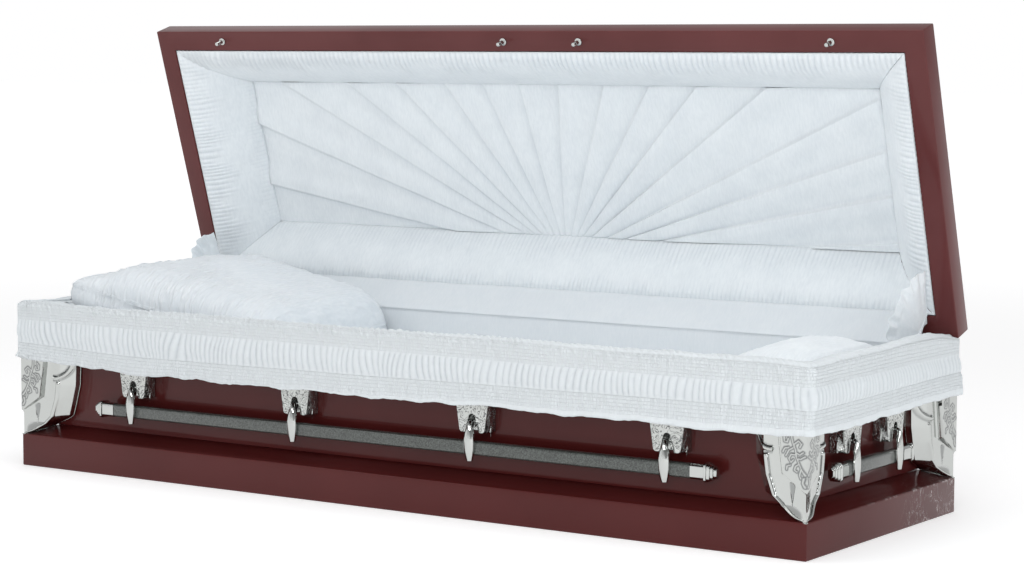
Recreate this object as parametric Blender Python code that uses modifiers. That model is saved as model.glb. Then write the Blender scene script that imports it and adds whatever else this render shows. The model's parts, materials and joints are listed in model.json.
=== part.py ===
"""Full-couch metal funeral casket with its lid open and four swing-bar handles.

Metres, +Z up. The origin is the middle of the underside, +X runs along the casket to
the foot end, and +Y runs to the hinged back.
"""

import math

import bmesh
import bpy
from mathutils import Vector

# Shell
BASE_LENGTH = 2.130
BASE_WIDTH = 0.700
SHEET = 0.0015
BAND_HEIGHT = 0.0765
COVE_RUN = 0.060
COVE_RISE = 0.020
COVE_SAG = 0.0025
COVE_STEPS = 4
FLANGE = 0.016
RAIL_TOP = 0.376
RAIL_BAND = 0.048
FLARE_RISE = 0.042
RIM_WIDTH = 0.049
RIM_LIP = 0.013
GAP = 0.0003

# Lid
OPEN_ANGLE = math.radians(72.65)
LID_GAP = 0.002
LID_BAND = 0.0526
LID_HEIGHT = 0.154
LID_COVE_RUN = 0.062
LID_COVE_RISE = 0.026
CROWN_RUN = 0.120
PANEL_DEPTH = 0.119
PANEL_THICKNESS = 0.010
PANEL_END_INSET = 0.180
PANEL_HINGE_INSET = 0.150
PANEL_FRONT_INSET = 0.170
PUFF_BULGE = 0.022
PUFF_THICKNESS = 0.010

# Hinge and latches
KNUCKLE_RADIUS = 0.0045
KNUCKLES = 9
KNUCKLE_GAP = 0.0006
HINGE_LENGTH = 1.900
LEAF_THICKNESS = 0.0016
LEAF_HEIGHT = 0.032
LATCH_X = (-0.852, -0.002, 0.205, 0.847)
LATCH_SETBACK = 0.0250
LATCH_RADIUS = 0.0045
LATCH_REACH = 0.025
LATCH_FOOT_RADIUS = 0.009
LATCH_FOOT = 0.003
LATCH_SLOT_GAP = 0.003

# Interior
LINING_THICKNESS = 0.008
LINING_BOTTOM = 0.225
LINING_CLEARANCE = 0.002
BED_HEIGHT = 0.225
MATTRESS_THICKNESS = 0.060
MATTRESS_CLEARANCE = 0.012
BED_INSET = 0.030
LEG_SIZE = 0.030
PILLOW_LENGTH = 0.610
PILLOW_HEIGHT = 0.205
PILLOW_SIDE_GAP = 0.0185
PILLOW_HEAD_GAP = 0.006
CUSHION_LENGTH = 0.285
CUSHION_HEIGHT = 0.104
CUSHION_SIDE_GAP = 0.0585
CUSHION_FOOT_GAP = 0.010

# Fabric skirt over the rail
SKIRT_HEM = 0.250
SKIRT_THICKNESS = 0.012
SKIRT_CLEARANCE = 0.006
SKIRT_COVER = 0.003
SKIRT_TUCK = 0.044
SKIRT_BACK_GAP = 0.015

# Fabric webs between lid and shell
WEB_THICKNESS = 0.012
WEB_INNER = 0.060
WEB_OUTER = 0.172
WEB_MARGIN = math.radians(5.0)

# Fabric apron over the hinge
APRON_THICKNESS = 0.002
APRON_SAG = 0.004
APRON_LAP = 0.004
APRON_END_GAP = 0.003

# Corner castings
WING = 0.105
WING_EDGE = 0.033
CASTING_TOP = 0.284
CASTING_PROUD = 0.057
CASTING_EDGE_PROUD = 0.041
CASTING_RIM_PROUD = 0.015
BORDER = 0.012
BORDER_RAISE = 0.004
PILASTER = 0.055
PILASTER_RAISE = 0.004
PILASTER_LOW = 0.1335
PILASTER_HIGH = 0.169

# Handles
ARM_X = (-0.7290, -0.2430, 0.2430, 0.7290)
ARM_Y = (-0.100, 0.100)
BAR_SIDE_OVERHANG = 0.118
BAR_END_OVERHANG = 0.090
BAR_HEIGHT = 0.153
BAR_TALL = 0.0305
BAR_DEEP = 0.022
BAR_CHAMFER = 0.004
BAR_STAND = 0.030
TIP_LENGTH = 0.060
PIN_STAND = 0.0305
PIN_HEIGHT = 0.211
PIN_RADIUS = 0.0025
PIN_CLEARANCE = 0.0005
PIN_SEAT = 0.0035
EAR_DEPTH = 0.035
EAR_BOTTOM = 0.186
EAR_TOP = 0.262
EAR_BOTTOM_HALF = 0.032
EAR_FOOT_HALF = 0.038
EAR_TOP_HALF = 0.0435
EAR_BACK_HALF = 0.0395
EAR_BACK_DEPTH = 0.019
EAR_CORNER = 0.008
NOTCH_TOP = 0.2264
NOTCH_RADIUS = 0.009
NOTCH_FOOT_HALF = 0.020
NOTCH_WALL = 0.006
LEAF_TOP = 0.2080
LEAF_BOTTOM = 0.1255
LEAF_HALF = 0.0135
LEAF_RIDGE = 0.012
NECK_HALF = 0.0045
NECK_THICKNESS = 0.007

HALF_LENGTH = BASE_LENGTH / 2
HALF_WIDTH = BASE_WIDTH / 2
PANEL_BOTTOM = BAND_HEIGHT + COVE_RISE
RAIL_BAND_LOW = RAIL_TOP - RAIL_BAND
PANEL_TOP = RAIL_BAND_LOW - FLARE_RISE
PANEL_X = HALF_LENGTH - COVE_RUN
PANEL_Y = HALF_WIDTH - COVE_RUN
HINGE_Y = HALF_WIDTH + GAP + KNUCKLE_RADIUS
HINGE_Z = RAIL_TOP + LID_GAP / 2
LID_PLANE = RAIL_TOP + LID_GAP

PAINT = ("maroon_paint", (0.085, 0.022, 0.022), 0.15, 0.3)
CHROME = ("chrome", (0.82, 0.83, 0.83), 0.06, 1.0)
BAR_FINISH = ("hammered_grey", (0.13, 0.14, 0.14), 0.45, 0.5)
STEEL = ("bare_steel", (0.45, 0.45, 0.46), 0.40, 1.0)
CREPE = ("white_crepe", (0.82, 0.85, 0.88), 0.85, 0.0)
SHEETING = ("white_sheeting", (0.84, 0.86, 0.89), 0.80, 0.0)


def collection(name):
    made = bpy.data.collections.new(name)
    bpy.context.scene.collection.children.link(made)
    return made


def material(name, finish):
    """A material of the sub-part's own, in one of the finishes above."""
    label, colour, roughness, metallic = finish
    made = bpy.data.materials.new(f"{name}_{label}")
    made.use_nodes = True
    shader = made.node_tree.nodes["Principled BSDF"]
    shader.inputs["Base Color"].default_value = (*colour, 1.0)
    shader.inputs["Roughness"].default_value = roughness
    shader.inputs["Metallic"].default_value = metallic
    return made


def mesh_from(bm, name):
    bmesh.ops.recalc_face_normals(bm, faces=bm.faces)
    mesh = bpy.data.meshes.new(name)
    bm.to_mesh(mesh)
    bm.free()
    return mesh


def place(name, mesh, finish, location=(0.0, 0.0, 0.0), turn=0.0, parent=None):
    """Adds one sub-part. turn is about +Z, and parent is its joint's empty."""
    own = mesh if mesh.users == 0 else mesh.copy()
    own.materials.clear()
    own.materials.append(material(name, finish))
    obj = bpy.data.objects.new(name, own)
    obj.location = location
    obj.rotation_euler = (0.0, 0.0, turn)
    obj.parent = parent
    PARTS.objects.link(obj)
    return obj


def guide(mesh, location=(0.0, 0.0, 0.0)):
    """A shape that only cuts or joins another."""
    obj = bpy.data.objects.new(mesh.name, mesh)
    obj.location = location
    obj.hide_render = True
    obj.display_type = "WIRE"
    CUTTERS.objects.link(obj)
    return obj


def joint_empty(name, location, turn=0.0, tilt=0.0):
    empty = bpy.data.objects.new(name, None)
    empty.empty_display_size = 0.05
    empty.location = location
    empty.rotation_euler = (tilt, 0.0, turn)
    PARTS.objects.link(empty)
    return empty


def boolean(obj, other, operation):
    modifier = obj.modifiers.new(f"{operation.lower()}_{other.name}", "BOOLEAN")
    modifier.operation = operation
    modifier.object = other


def shaped(mesh, steps):
    """The mesh after its cuts and joins, for a shape that is placed several times."""
    base = guide(mesh)
    tools = [guide(tool) for tool, _ in steps]
    for tool, (_, operation) in zip(tools, steps):
        boolean(base, tool, operation)
    bpy.context.view_layer.update()
    graph = bpy.context.evaluated_depsgraph_get()
    made = bpy.data.meshes.new_from_object(base.evaluated_get(graph))
    made.name = mesh.name
    for obj in [base, *tools]:
        bpy.data.objects.remove(obj)
    return made


def box_mesh(name, low, high):
    bm = bmesh.new()
    bmesh.ops.create_cube(bm, size=1.0)
    low, high = Vector(low), Vector(high)
    for vert in bm.verts:
        vert.co = Vector(((low[i] + high[i]) / 2 + vert.co[i] * (high[i] - low[i]) for i in range(3)))
    return mesh_from(bm, name)


def rod_mesh(name, radius, length, sides, axis="Z", start=0.0):
    """A rod along an axis from start to start + length."""
    bm = bmesh.new()
    bmesh.ops.create_cone(
        bm, cap_ends=True, segments=sides, radius1=radius, radius2=radius, depth=length
    )
    for vert in bm.verts:
        x, y, z = vert.co.x, vert.co.y, vert.co.z + start + length / 2
        vert.co = Vector((z, x, y)) if axis == "X" else Vector((x, y, z))
    return mesh_from(bm, name)


def prism_mesh(name, outline, front, back):
    """An outline of (x, z) points given a depth along Y."""
    bm = bmesh.new()
    face = bm.faces.new([bm.verts.new((x, front, z)) for x, z in outline])
    made = bmesh.ops.extrude_face_region(bm, geom=[face])
    for item in made["geom"]:
        if isinstance(item, bmesh.types.BMVert):
            item.co.y = back
    return mesh_from(bm, name)


def loft_mesh(name, sections, split=False):
    """A skin over sections with the same number of points, closed at both ends."""
    bm = bmesh.new()
    rows = [[bm.verts.new(point) for point in section] for section in sections]
    count = len(rows[0])
    for low, high in zip(rows, rows[1:]):
        for i in range(count):
            j = (i + 1) % count
            if split:
                bm.faces.new((low[i], low[j], high[i]))
                bm.faces.new((low[j], high[j], high[i]))
            else:
                bm.faces.new((low[i], low[j], high[j], high[i]))
    bm.faces.new(rows[0])
    bm.faces.new(rows[-1])
    return mesh_from(bm, name)


def arc(centre, radius, start, end, steps):
    """Points of an arc in a plane, with its angles in degrees."""
    angles = [math.radians(start + (end - start) * i / steps) for i in range(steps + 1)]
    return [(centre[0] + radius * math.cos(a), centre[1] + radius * math.sin(a)) for a in angles]


def offset_path(path, distance):
    """The path moved sideways to its left by a distance, with mitred corners."""
    points = [Vector(p) for p in path]
    ways = [(b - a).normalized() for a, b in zip(points, points[1:])]
    ways = [ways[0], *ways, ways[-1]]
    moved = []
    for point, before, after in zip(points, ways, ways[1:]):
        n0 = Vector((-before.y, before.x))
        n1 = Vector((-after.y, after.x))
        moved.append(tuple(point + (n0 + n1) * distance / (1.0 + n0.dot(n1))))
    return moved


def inset_rect(inset, z):
    """The casket's outline drawn in by an inset, at a height."""
    return (
        -HALF_LENGTH + inset,
        HALF_LENGTH - inset,
        -HALF_WIDTH + inset,
        HALF_WIDTH - inset,
        z,
    )


def move_rect(bounds, y, z):
    left, right, front, back, height = bounds
    return (left, right, front + y, back + y, height + z)


def ring_mesh(name, rings, capped):
    """Skins a run of rectangles: capped at both ends, or closed into a frame."""
    bm = bmesh.new()
    bmesh.ops.create_grid(bm, x_segments=1, y_segments=1, size=1.0)

    def set_ring(verts, ring):
        left, right, front, back, z = ring
        for vert in verts:
            x = left if vert.co.x < middle.x else right
            y = front if vert.co.y < middle.y else back
            vert.co = (x, y, z)

    middle = Vector((0.0, 0.0))
    set_ring(bm.verts, rings[0])
    left, right, front, back, _ = rings[0]
    middle = Vector(((left + right) / 2, (front + back) / 2))
    first = list(bm.edges)
    edges = first
    if not capped:
        bmesh.ops.delete(bm, geom=list(bm.faces), context="FACES_ONLY")
    for ring in rings[1:]:
        made = bmesh.ops.extrude_edge_only(bm, edges=edges)["geom"]
        verts = {item for item in made if isinstance(item, bmesh.types.BMVert)}
        edges = [
            item
            for item in made
            if isinstance(item, bmesh.types.BMEdge) and verts.issuperset(item.verts)
        ]
        set_ring(verts, ring)
    if capped:
        bmesh.ops.contextual_create(bm, geom=edges)
    else:
        bmesh.ops.bridge_loops(bm, edges=first + edges)
    return mesh_from(bm, name)


def cove(run, rise, sag, steps):
    """A hollow slope from (0, 0) to (run, rise), as (inset, height) points."""
    points = []
    for i in range(steps + 1):
        t = i / steps
        points.append((run * t, rise * t - 4 * sag * t * (1 - t)))
    return points


def flare_path():
    """The rail's underside, from the side panel out to the rail's band."""
    return [
        (COVE_RUN, PANEL_TOP),
        (COVE_RUN * 0.86, PANEL_TOP + FLARE_RISE * 0.30),
        (COVE_RUN * 0.50, PANEL_TOP + FLARE_RISE * 0.62),
        (COVE_RUN * 0.12, PANEL_TOP + FLARE_RISE * 0.80),
        (0.0, RAIL_BAND_LOW),
    ]


def base_pan():
    """Bottom pan: flat bottom, moulding band and the hollow slope up to the panels."""
    slope = [(i, BAND_HEIGHT + z) for i, z in cove(COVE_RUN, COVE_RISE, COVE_SAG, COVE_STEPS)]
    lead = (HALF_WIDTH, 0.0)
    path = [lead, (0.0, 0.0), *slope, (COVE_RUN + FLANGE, PANEL_BOTTOM)]
    inner = offset_path(path, -SHEET)[1:]
    rings = [inset_rect(i, z) for i, z in [*path[1:], *reversed(inner)]]
    place("base_pan", ring_mesh("base_pan", rings, capped=True), PAINT)


def body_walls():
    """Side and end panels with the rail that the lid closes on."""
    path = [
        (COVE_RUN + FLANGE, PANEL_BOTTOM + GAP),
        (COVE_RUN, PANEL_BOTTOM + GAP),
        *flare_path(),
        (0.0, RAIL_TOP),
        (RIM_WIDTH, RAIL_TOP),
        (RIM_WIDTH, RAIL_TOP - RIM_LIP),
    ]
    inner = offset_path(path, -SHEET)
    rings = [inset_rect(i, z) for i, z in [*path, *reversed(inner)]]
    walls = place("body_walls", ring_mesh("body_walls", rings, capped=False), PAINT)
    half = LATCH_FOOT_RADIUS + LATCH_SLOT_GAP
    front = -HALF_WIDTH + LATCH_SETBACK
    for number, x in enumerate(LATCH_X):
        low = (x - half, front - half, RAIL_TOP - 3 * SHEET)
        high = (x + half, front + half, RAIL_TOP + SHEET)
        boolean(walls, guide(box_mesh(f"latch_slot_{number + 1}", low, high)), "DIFFERENCE")


def wall_lining():
    """Fabric-covered board round the inside of the panels."""
    outer = COVE_RUN + SHEET + LINING_CLEARANCE
    inner = outer + LINING_THICKNESS
    top = RAIL_TOP - LID_GAP
    rings = [
        inset_rect(outer, LINING_BOTTOM),
        inset_rect(outer, top),
        inset_rect(inner, top),
        inset_rect(inner, LINING_BOTTOM),
    ]
    place("wall_lining", ring_mesh("wall_lining", rings, capped=False), CREPE)


def interior_edge():
    """How far the lining's inner face is drawn in from the casket's outline."""
    return COVE_RUN + SHEET + LINING_CLEARANCE + LINING_THICKNESS


def bed_frame():
    """Sheet deck on four legs that stand on the pan and carry the mattress."""
    inset = interior_edge() + MATTRESS_CLEARANCE + BED_INSET
    floor = SHEET + GAP
    deck = BED_HEIGHT - FLANGE
    left, right, front, back, _ = inset_rect(inset, 0.0)
    frame = place(
        "bed_frame",
        box_mesh("bed_frame", (left, front, deck), (right, back, BED_HEIGHT - GAP)),
        STEEL,
    )
    for number, (x, y) in enumerate([(left, front), (right, front), (left, back), (right, back)]):
        x0 = x if x < 0 else x - LEG_SIZE
        y0 = y if y < 0 else y - LEG_SIZE
        low = (x0 + GAP, y0 + GAP, floor)
        high = (x0 + LEG_SIZE - GAP, y0 + LEG_SIZE - GAP, deck + FLANGE / 2)
        boolean(frame, guide(box_mesh(f"bed_leg_{number + 1}", low, high)), "UNION")


def cushion_mesh(name, size, edge_share):
    """A stuffed form: a coarse cage that is thinner at its edges, made smooth."""
    bm = bmesh.new()
    bmesh.ops.create_cube(bm, size=1.0)
    bmesh.ops.subdivide_edges(bm, edges=bm.edges, cuts=2, use_grid_fill=True)
    for vert in bm.verts:
        rim = max(abs(vert.co.x), abs(vert.co.y)) > 0.49
        height = (vert.co.z + 0.5) * (edge_share if rim else 1.0)
        vert.co = (vert.co.x * size[0], vert.co.y * size[1], height * size[2])
    return mesh_from(bm, name)


def cushion(name, size, centre_x, z):
    obj = place(name, cushion_mesh(name, size, 0.55), SHEETING, (centre_x, 0.0, z))
    smooth = obj.modifiers.new("smooth", "SUBSURF")
    smooth.levels = 1
    smooth.render_levels = 1
    obj.data.shade_smooth()


def soft_interior():
    """Mattress, head pillow and the small cushion at the foot."""
    edge = interior_edge()
    inset = edge + MATTRESS_CLEARANCE
    top = BED_HEIGHT + MATTRESS_THICKNESS
    left, right, front, back, _ = inset_rect(inset, 0.0)
    mattress = place(
        "mattress",
        box_mesh("mattress", (left, front, BED_HEIGHT), (right, back, top)),
        SHEETING,
    )
    round_edges = mattress.modifiers.new("edges", "BEVEL")
    round_edges.width = MATTRESS_THICKNESS * 0.3
    round_edges.segments = 2
    inner_x = HALF_LENGTH - edge
    head = -inner_x + PILLOW_HEAD_GAP + PILLOW_LENGTH / 2
    foot = inner_x - CUSHION_FOOT_GAP - CUSHION_LENGTH / 2
    width = BASE_WIDTH - 2 * edge
    pillow_size = (PILLOW_LENGTH, width - 2 * PILLOW_SIDE_GAP, PILLOW_HEIGHT)
    cushion_size = (CUSHION_LENGTH, width - 2 * CUSHION_SIDE_GAP, CUSHION_HEIGHT)
    cushion("pillow", pillow_size, head, top + GAP)
    cushion("foot_cushion", cushion_size, foot, top + GAP)


def overlay():
    """Shirred skirt that hangs over the rail along the front and both ends."""
    inner = -SKIRT_CLEARANCE
    outer = inner - SKIRT_THICKNESS
    under = RAIL_TOP + SKIRT_COVER
    over = under + SKIRT_THICKNESS
    loop = [
        (inner, SKIRT_HEM),
        (outer, SKIRT_HEM),
        (outer, over - SKIRT_THICKNESS / 2),
        (inner, over),
        (SKIRT_TUCK - SKIRT_THICKNESS, over),
        (SKIRT_TUCK, under + SKIRT_THICKNESS / 2),
        (SKIRT_TUCK, under),
        (inner, under),
    ]
    rings = [inset_rect(i, z) for i, z in loop]
    skirt = place("overlay", ring_mesh("overlay", rings, capped=False), CREPE)
    reach = HALF_LENGTH + 0.1
    low = (-reach, HALF_WIDTH - SKIRT_BACK_GAP, 0.0)
    high = (reach, HALF_WIDTH + 0.1, RAIL_TOP + 0.1)
    boolean(skirt, guide(box_mesh("overlay_back_cut", low, high)), "DIFFERENCE")


def flat_mesh(name, outline, x0, x1):
    """An outline in y and z carried along from x0 to x1."""
    bm = bmesh.new()
    face = bm.faces.new([bm.verts.new((x0, y, z)) for y, z in outline])
    made = bmesh.ops.extrude_face_region(bm, geom=[face])
    for item in made["geom"]:
        if isinstance(item, bmesh.types.BMVert):
            item.co.x = x1
    return mesh_from(bm, name)


def corner_webs():
    """Fans of cloth in the plane across the hinge, from the shell to the lid."""
    low = math.degrees(WEB_MARGIN)
    high = math.degrees(OPEN_ANGLE - WEB_MARGIN)
    outline = arc((0.0, 0.0), WEB_OUTER, 180 - low, 180 - high, 6)
    outline += arc((0.0, 0.0), WEB_INNER, 180 - high, 180 - low, 3)
    shape = flat_mesh("corner_web", outline, -WEB_THICKNESS / 2, WEB_THICKNESS / 2)
    x = HALF_LENGTH - COVE_RUN - SHEET - LINING_CLEARANCE - WEB_THICKNESS / 2
    place("corner_web_head", shape, CREPE, (-x, HINGE_Y, HINGE_Z))
    place("corner_web_foot", shape, CREPE, (x, HINGE_Y, HINGE_Z))


def hinge_apron():
    """Cloth that hides the hinge, from the panel lining up to the lid's lining."""
    half = APRON_THICKNESS / 2
    c, s = math.cos(OPEN_ANGLE), math.sin(OPEN_ANGLE)
    reach = RIM_WIDTH + APRON_LAP + HINGE_Y - HALF_WIDTH
    stand = LID_PLANE - HINGE_Z - APRON_THICKNESS
    y0 = HALF_WIDTH - interior_edge() + APRON_LAP
    z0 = RAIL_TOP - LID_GAP + half + GAP
    y1 = HINGE_Y - reach * c + stand * s
    z1 = HINGE_Z + reach * s + stand * c
    run = math.hypot(y1 - y0, z1 - z0)
    across = (-(z1 - z0) / run * half, (y1 - y0) / run * half)
    front = []
    behind = []
    for i in range(5):
        t = i / 4
        y = y0 + (y1 - y0) * t
        z = z0 + (z1 - z0) * t - APRON_SAG * 4 * t * (1 - t)
        front.append((y + across[0], z + across[1]))
        behind.append((y - across[0], z - across[1]))
    end = HALF_LENGTH - COVE_RUN - SHEET - LINING_CLEARANCE - WEB_THICKNESS - APRON_END_GAP
    outline = [*front, *reversed(behind)]
    place("hinge_apron", flat_mesh("hinge_apron", outline, -end, end), CREPE)


def lid_rect(inset, height):
    """An outline of the closed lid, measured from the hinge axis."""
    return move_rect(inset_rect(inset, height), -HINGE_Y, LID_PLANE - HINGE_Z)


def lid_shell(hinge):
    """Pressed lid: rim, vertical band, cove and raised crown."""
    crown = LID_HEIGHT - LID_BAND - LID_COVE_RISE
    path = [
        (RIM_WIDTH, RIM_LIP),
        (RIM_WIDTH, 0.0),
        (0.0, 0.0),
        (0.0, LID_BAND),
        (LID_COVE_RUN * 0.16, LID_BAND + LID_COVE_RISE * 0.38),
        (LID_COVE_RUN * 0.62, LID_BAND + LID_COVE_RISE * 0.62),
        (LID_COVE_RUN, LID_BAND + LID_COVE_RISE),
        (LID_COVE_RUN + CROWN_RUN * 0.20, LID_HEIGHT - crown * 0.55),
        (LID_COVE_RUN + CROWN_RUN * 0.55, LID_HEIGHT - crown * 0.18),
        (LID_COVE_RUN + CROWN_RUN, LID_HEIGHT),
        (LID_COVE_RUN + CROWN_RUN * 1.5, LID_HEIGHT),
    ]
    inner = offset_path(path, -SHEET)[:-1]
    rings = [lid_rect(i, z) for i, z in [*reversed(path[:-1]), *inner]]
    place("lid_shell", ring_mesh("lid_shell", rings, capped=True), PAINT, parent=hinge)


def panel_rect(height):
    left, right, _, _, _ = inset_rect(PANEL_END_INSET, 0.0)
    front = -HALF_WIDTH + PANEL_FRONT_INSET
    back = HALF_WIDTH - PANEL_HINGE_INSET
    return move_rect((left, right, front, back, height), -HINGE_Y, LID_PLANE - HINGE_Z)


def lid_lining(hinge):
    """Puffed border and the flat panel with its rays, both inside the lid."""
    outer = lid_rect(RIM_WIDTH + SHEET + GAP, 0.0)
    inner = panel_rect(0.0)
    steps = 5
    face = []
    for i in range(steps + 1):
        t = i / steps
        swell = PUFF_BULGE * math.sin(math.pi * t)
        height = RIM_LIP * 0.3 + (PANEL_DEPTH - RIM_LIP * 0.3) * t - swell
        face.append((t, height))
    back = [(1.0, PANEL_DEPTH + PUFF_THICKNESS * 0.5), (0.0, RIM_LIP + PUFF_THICKNESS)]
    rings = []
    for t, height in [*face, *back]:
        mixed = [a + (b - a) * t for a, b in zip(outer[:4], inner[:4])]
        rings.append((*mixed, outer[4] + height))
    place("lid_puff", ring_mesh("lid_puff", rings, capped=False), CREPE, parent=hinge)
    left, right, front, rear, z = panel_rect(PANEL_DEPTH)
    low = (left + GAP, front + GAP, z)
    high = (right - GAP, rear - GAP, z + PANEL_THICKNESS)
    place("sunburst_panel", box_mesh("sunburst_panel", low, high), CREPE, parent=hinge)


def hinge_leaf(name, first, side, parent):
    """One leaf of the long hinge: its plate and every second knuckle."""
    inner = HALF_WIDTH + GAP - HINGE_Y
    start = LID_PLANE - HINGE_Z + KNUCKLE_RADIUS if side > 0 else RAIL_TOP - HINGE_Z - KNUCKLE_RADIUS
    end = start + side * LEAF_HEIGHT
    half = HINGE_LENGTH / 2
    low = (-half, inner, min(start, end))
    high = (half, inner + LEAF_THICKNESS, max(start, end))
    location = (0.0, 0.0, 0.0) if parent else (0.0, HINGE_Y, HINGE_Z)
    leaf = place(name, box_mesh(name, low, high), PAINT, location, parent=parent)
    pitch = HINGE_LENGTH / KNUCKLES
    for number in range(first, KNUCKLES, 2):
        x0 = -half + number * pitch + KNUCKLE_GAP / 2
        x1 = x0 + pitch - KNUCKLE_GAP
        knuckle = rod_mesh(f"{name}_knuckle_{number}", KNUCKLE_RADIUS, x1 - x0, 10, "X", x0)
        tab = box_mesh(
            f"{name}_tab_{number}",
            (x0 + KNUCKLE_GAP, inner + GAP, min(0.0, start + side * KNUCKLE_RADIUS)),
            (x1 - KNUCKLE_GAP, inner + LEAF_THICKNESS - GAP, max(0.0, start + side * KNUCKLE_RADIUS)),
        )
        for piece in (tab, knuckle):
            tool = guide(piece)
            tool.parent = leaf
            boolean(leaf, tool, "UNION")


def latch_studs(hinge):
    """Chrome studs on the lid's front rim that drop through slots in the rail."""
    foot = rod_mesh("latch", LATCH_FOOT_RADIUS, LATCH_FOOT, 12, "Z", -LATCH_FOOT)
    stem = rod_mesh("latch_stem", LATCH_RADIUS, LATCH_REACH - GAP, 12, "Z", -LATCH_REACH)
    eye = rod_mesh("latch_eye", LATCH_RADIUS * 0.5, LATCH_RADIUS * 4, 8, "X", -LATCH_RADIUS * 2)
    for vert in eye.vertices:
        vert.co.z -= LATCH_REACH * 0.7
    shape = shaped(foot, [(stem, "UNION"), (eye, "DIFFERENCE")])
    y = -HALF_WIDTH + LATCH_SETBACK - HINGE_Y
    z = LID_PLANE - HINGE_Z - GAP
    for number, x in enumerate(LATCH_X):
        place(f"latch_stud_{number + 1}", shape, CHROME, (x, y, z), parent=hinge)


def corner_turn(turn):
    """Where a corner casting's own origin, the panels' meeting edge, goes."""
    c, s = round(math.cos(turn)), round(math.sin(turn))
    if s == 0:
        return (PANEL_X * c, -PANEL_Y * c, 0.0)
    return (PANEL_X * s, PANEL_Y * s, 0.0)


def cove_stand(z):
    """How far the base's hollow slope stands out from the panels at a height."""
    points = cove(COVE_RUN, COVE_RISE, COVE_SAG, COVE_STEPS)
    for (i0, h0), (i1, h1) in zip(points, points[1:]):
        if z - BAND_HEIGHT < h1:
            return COVE_RUN - i0 - (i1 - i0) * (z - BAND_HEIGHT - h0) / (h1 - h0)
    return 0.0


def wing_section(z, reach, edge_reach):
    """A casting's outline at one height, seen from above, about the panels' corner.

    A wing runs a distance reach from its outer corner, and edge_reach is where its side
    wall meets the panel or the base's slope.
    """
    inner = cove_stand(z) + 2 * GAP
    room = (CASTING_PROUD - inner) * 0.1
    face = [
        (min(PILASTER, reach * 0.5), CASTING_PROUD - 0.006),
        (reach - min(BORDER * 1.4, reach * 0.3), CASTING_EDGE_PROUD + 0.002),
        (reach - min(BORDER, reach * 0.2), CASTING_EDGE_PROUD + BORDER_RAISE),
        (reach, CASTING_EDGE_PROUD + BORDER_RAISE * 0.6),
        (edge_reach, CASTING_RIM_PROUD),
        (edge_reach, 0.0),
    ]
    side = []
    for number, (s, q) in enumerate(face):
        depth = max(q, inner + room * (len(face) - 1 - number))
        side.append((depth, s - CASTING_PROUD))
    front = [(-y, -x) for x, y in reversed(side)]
    outer = (CASTING_PROUD, -CASTING_PROUD)
    return [Vector((x, y, z)) for x, y in [*front, outer, *side, (inner, -inner)]]


def casting_mesh():
    """Shield-shaped cover that wraps a corner and rests its tip on the moulding."""
    rows = [
        (BAND_HEIGHT + 0.0010, 0.005, 0.006),
        (BAND_HEIGHT + 0.008, 0.028, 0.030),
        (BAND_HEIGHT + 0.0155, 0.046, 0.050),
        (PANEL_BOTTOM + GAP, 0.054, 0.060),
        (BAND_HEIGHT + 0.030, 0.066, 0.078),
        (BAND_HEIGHT + 0.045, 0.082, 0.108),
        (BAND_HEIGHT + 0.075, 0.096, 0.122),
        (BAND_HEIGHT + 0.125, WING - 0.002, WING + WING_EDGE - 0.004),
        (CASTING_TOP, WING, WING + WING_EDGE),
    ]
    return loft_mesh("corner_casting", [wing_section(*row) for row in rows])


def pilaster_mesh():
    """Raised angle on the casting's corner, its foot cut to a point."""
    out = CASTING_PROUD + PILASTER_RAISE
    end = CASTING_PROUD - PILASTER
    sink = CASTING_PROUD - 0.012
    face = CASTING_PROUD - 0.001
    plan = [(end, -face), (out, -out), (face, -end), (sink, -end), (sink, -sink), (end, -sink)]
    bm = bmesh.new()
    low, high = [], []
    for x, y in plan:
        rise = (PILASTER_HIGH - PILASTER_LOW) * (out - min(x, -y)) / (out - end)
        low.append(bm.verts.new((x, y, PILASTER_LOW + rise)))
        high.append(bm.verts.new((x, y, CASTING_TOP - GAP)))
    for i in range(6):
        j = (i + 1) % 6
        bm.faces.new((low[i], low[j], high[j], high[i]))
    for row in (low, high):
        bm.faces.new((row[0], row[1], row[4], row[5]))
        bm.faces.new((row[1], row[2], row[3], row[4]))
    return mesh_from(bm, "pilaster")


def corner_castings():
    shape = shaped(casting_mesh(), [(pilaster_mesh(), "UNION")])
    corners = {
        "front_foot": 0.0,
        "back_foot": math.pi / 2,
        "back_head": math.pi,
        "front_head": -math.pi / 2,
    }
    for name, turn in corners.items():
        place(f"corner_casting_{name}", shape, CHROME, corner_turn(turn), turn)


def ear_outline(bottom_half, depth):
    """An ear seen from the front: wider at its top, with rounded lower corners."""
    lean = (EAR_TOP_HALF - bottom_half) / (EAR_TOP - EAR_BOTTOM)
    centre = (bottom_half - EAR_CORNER + lean * EAR_CORNER, EAR_BOTTOM + EAR_CORNER)
    right = [*arc(centre, EAR_CORNER, -90, -8, 3), (EAR_TOP_HALF, EAR_TOP)]
    left = [(-x, z) for x, z in reversed(right)]
    return [Vector((x, -depth, z)) for x, z in [*right, *left]]


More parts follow.
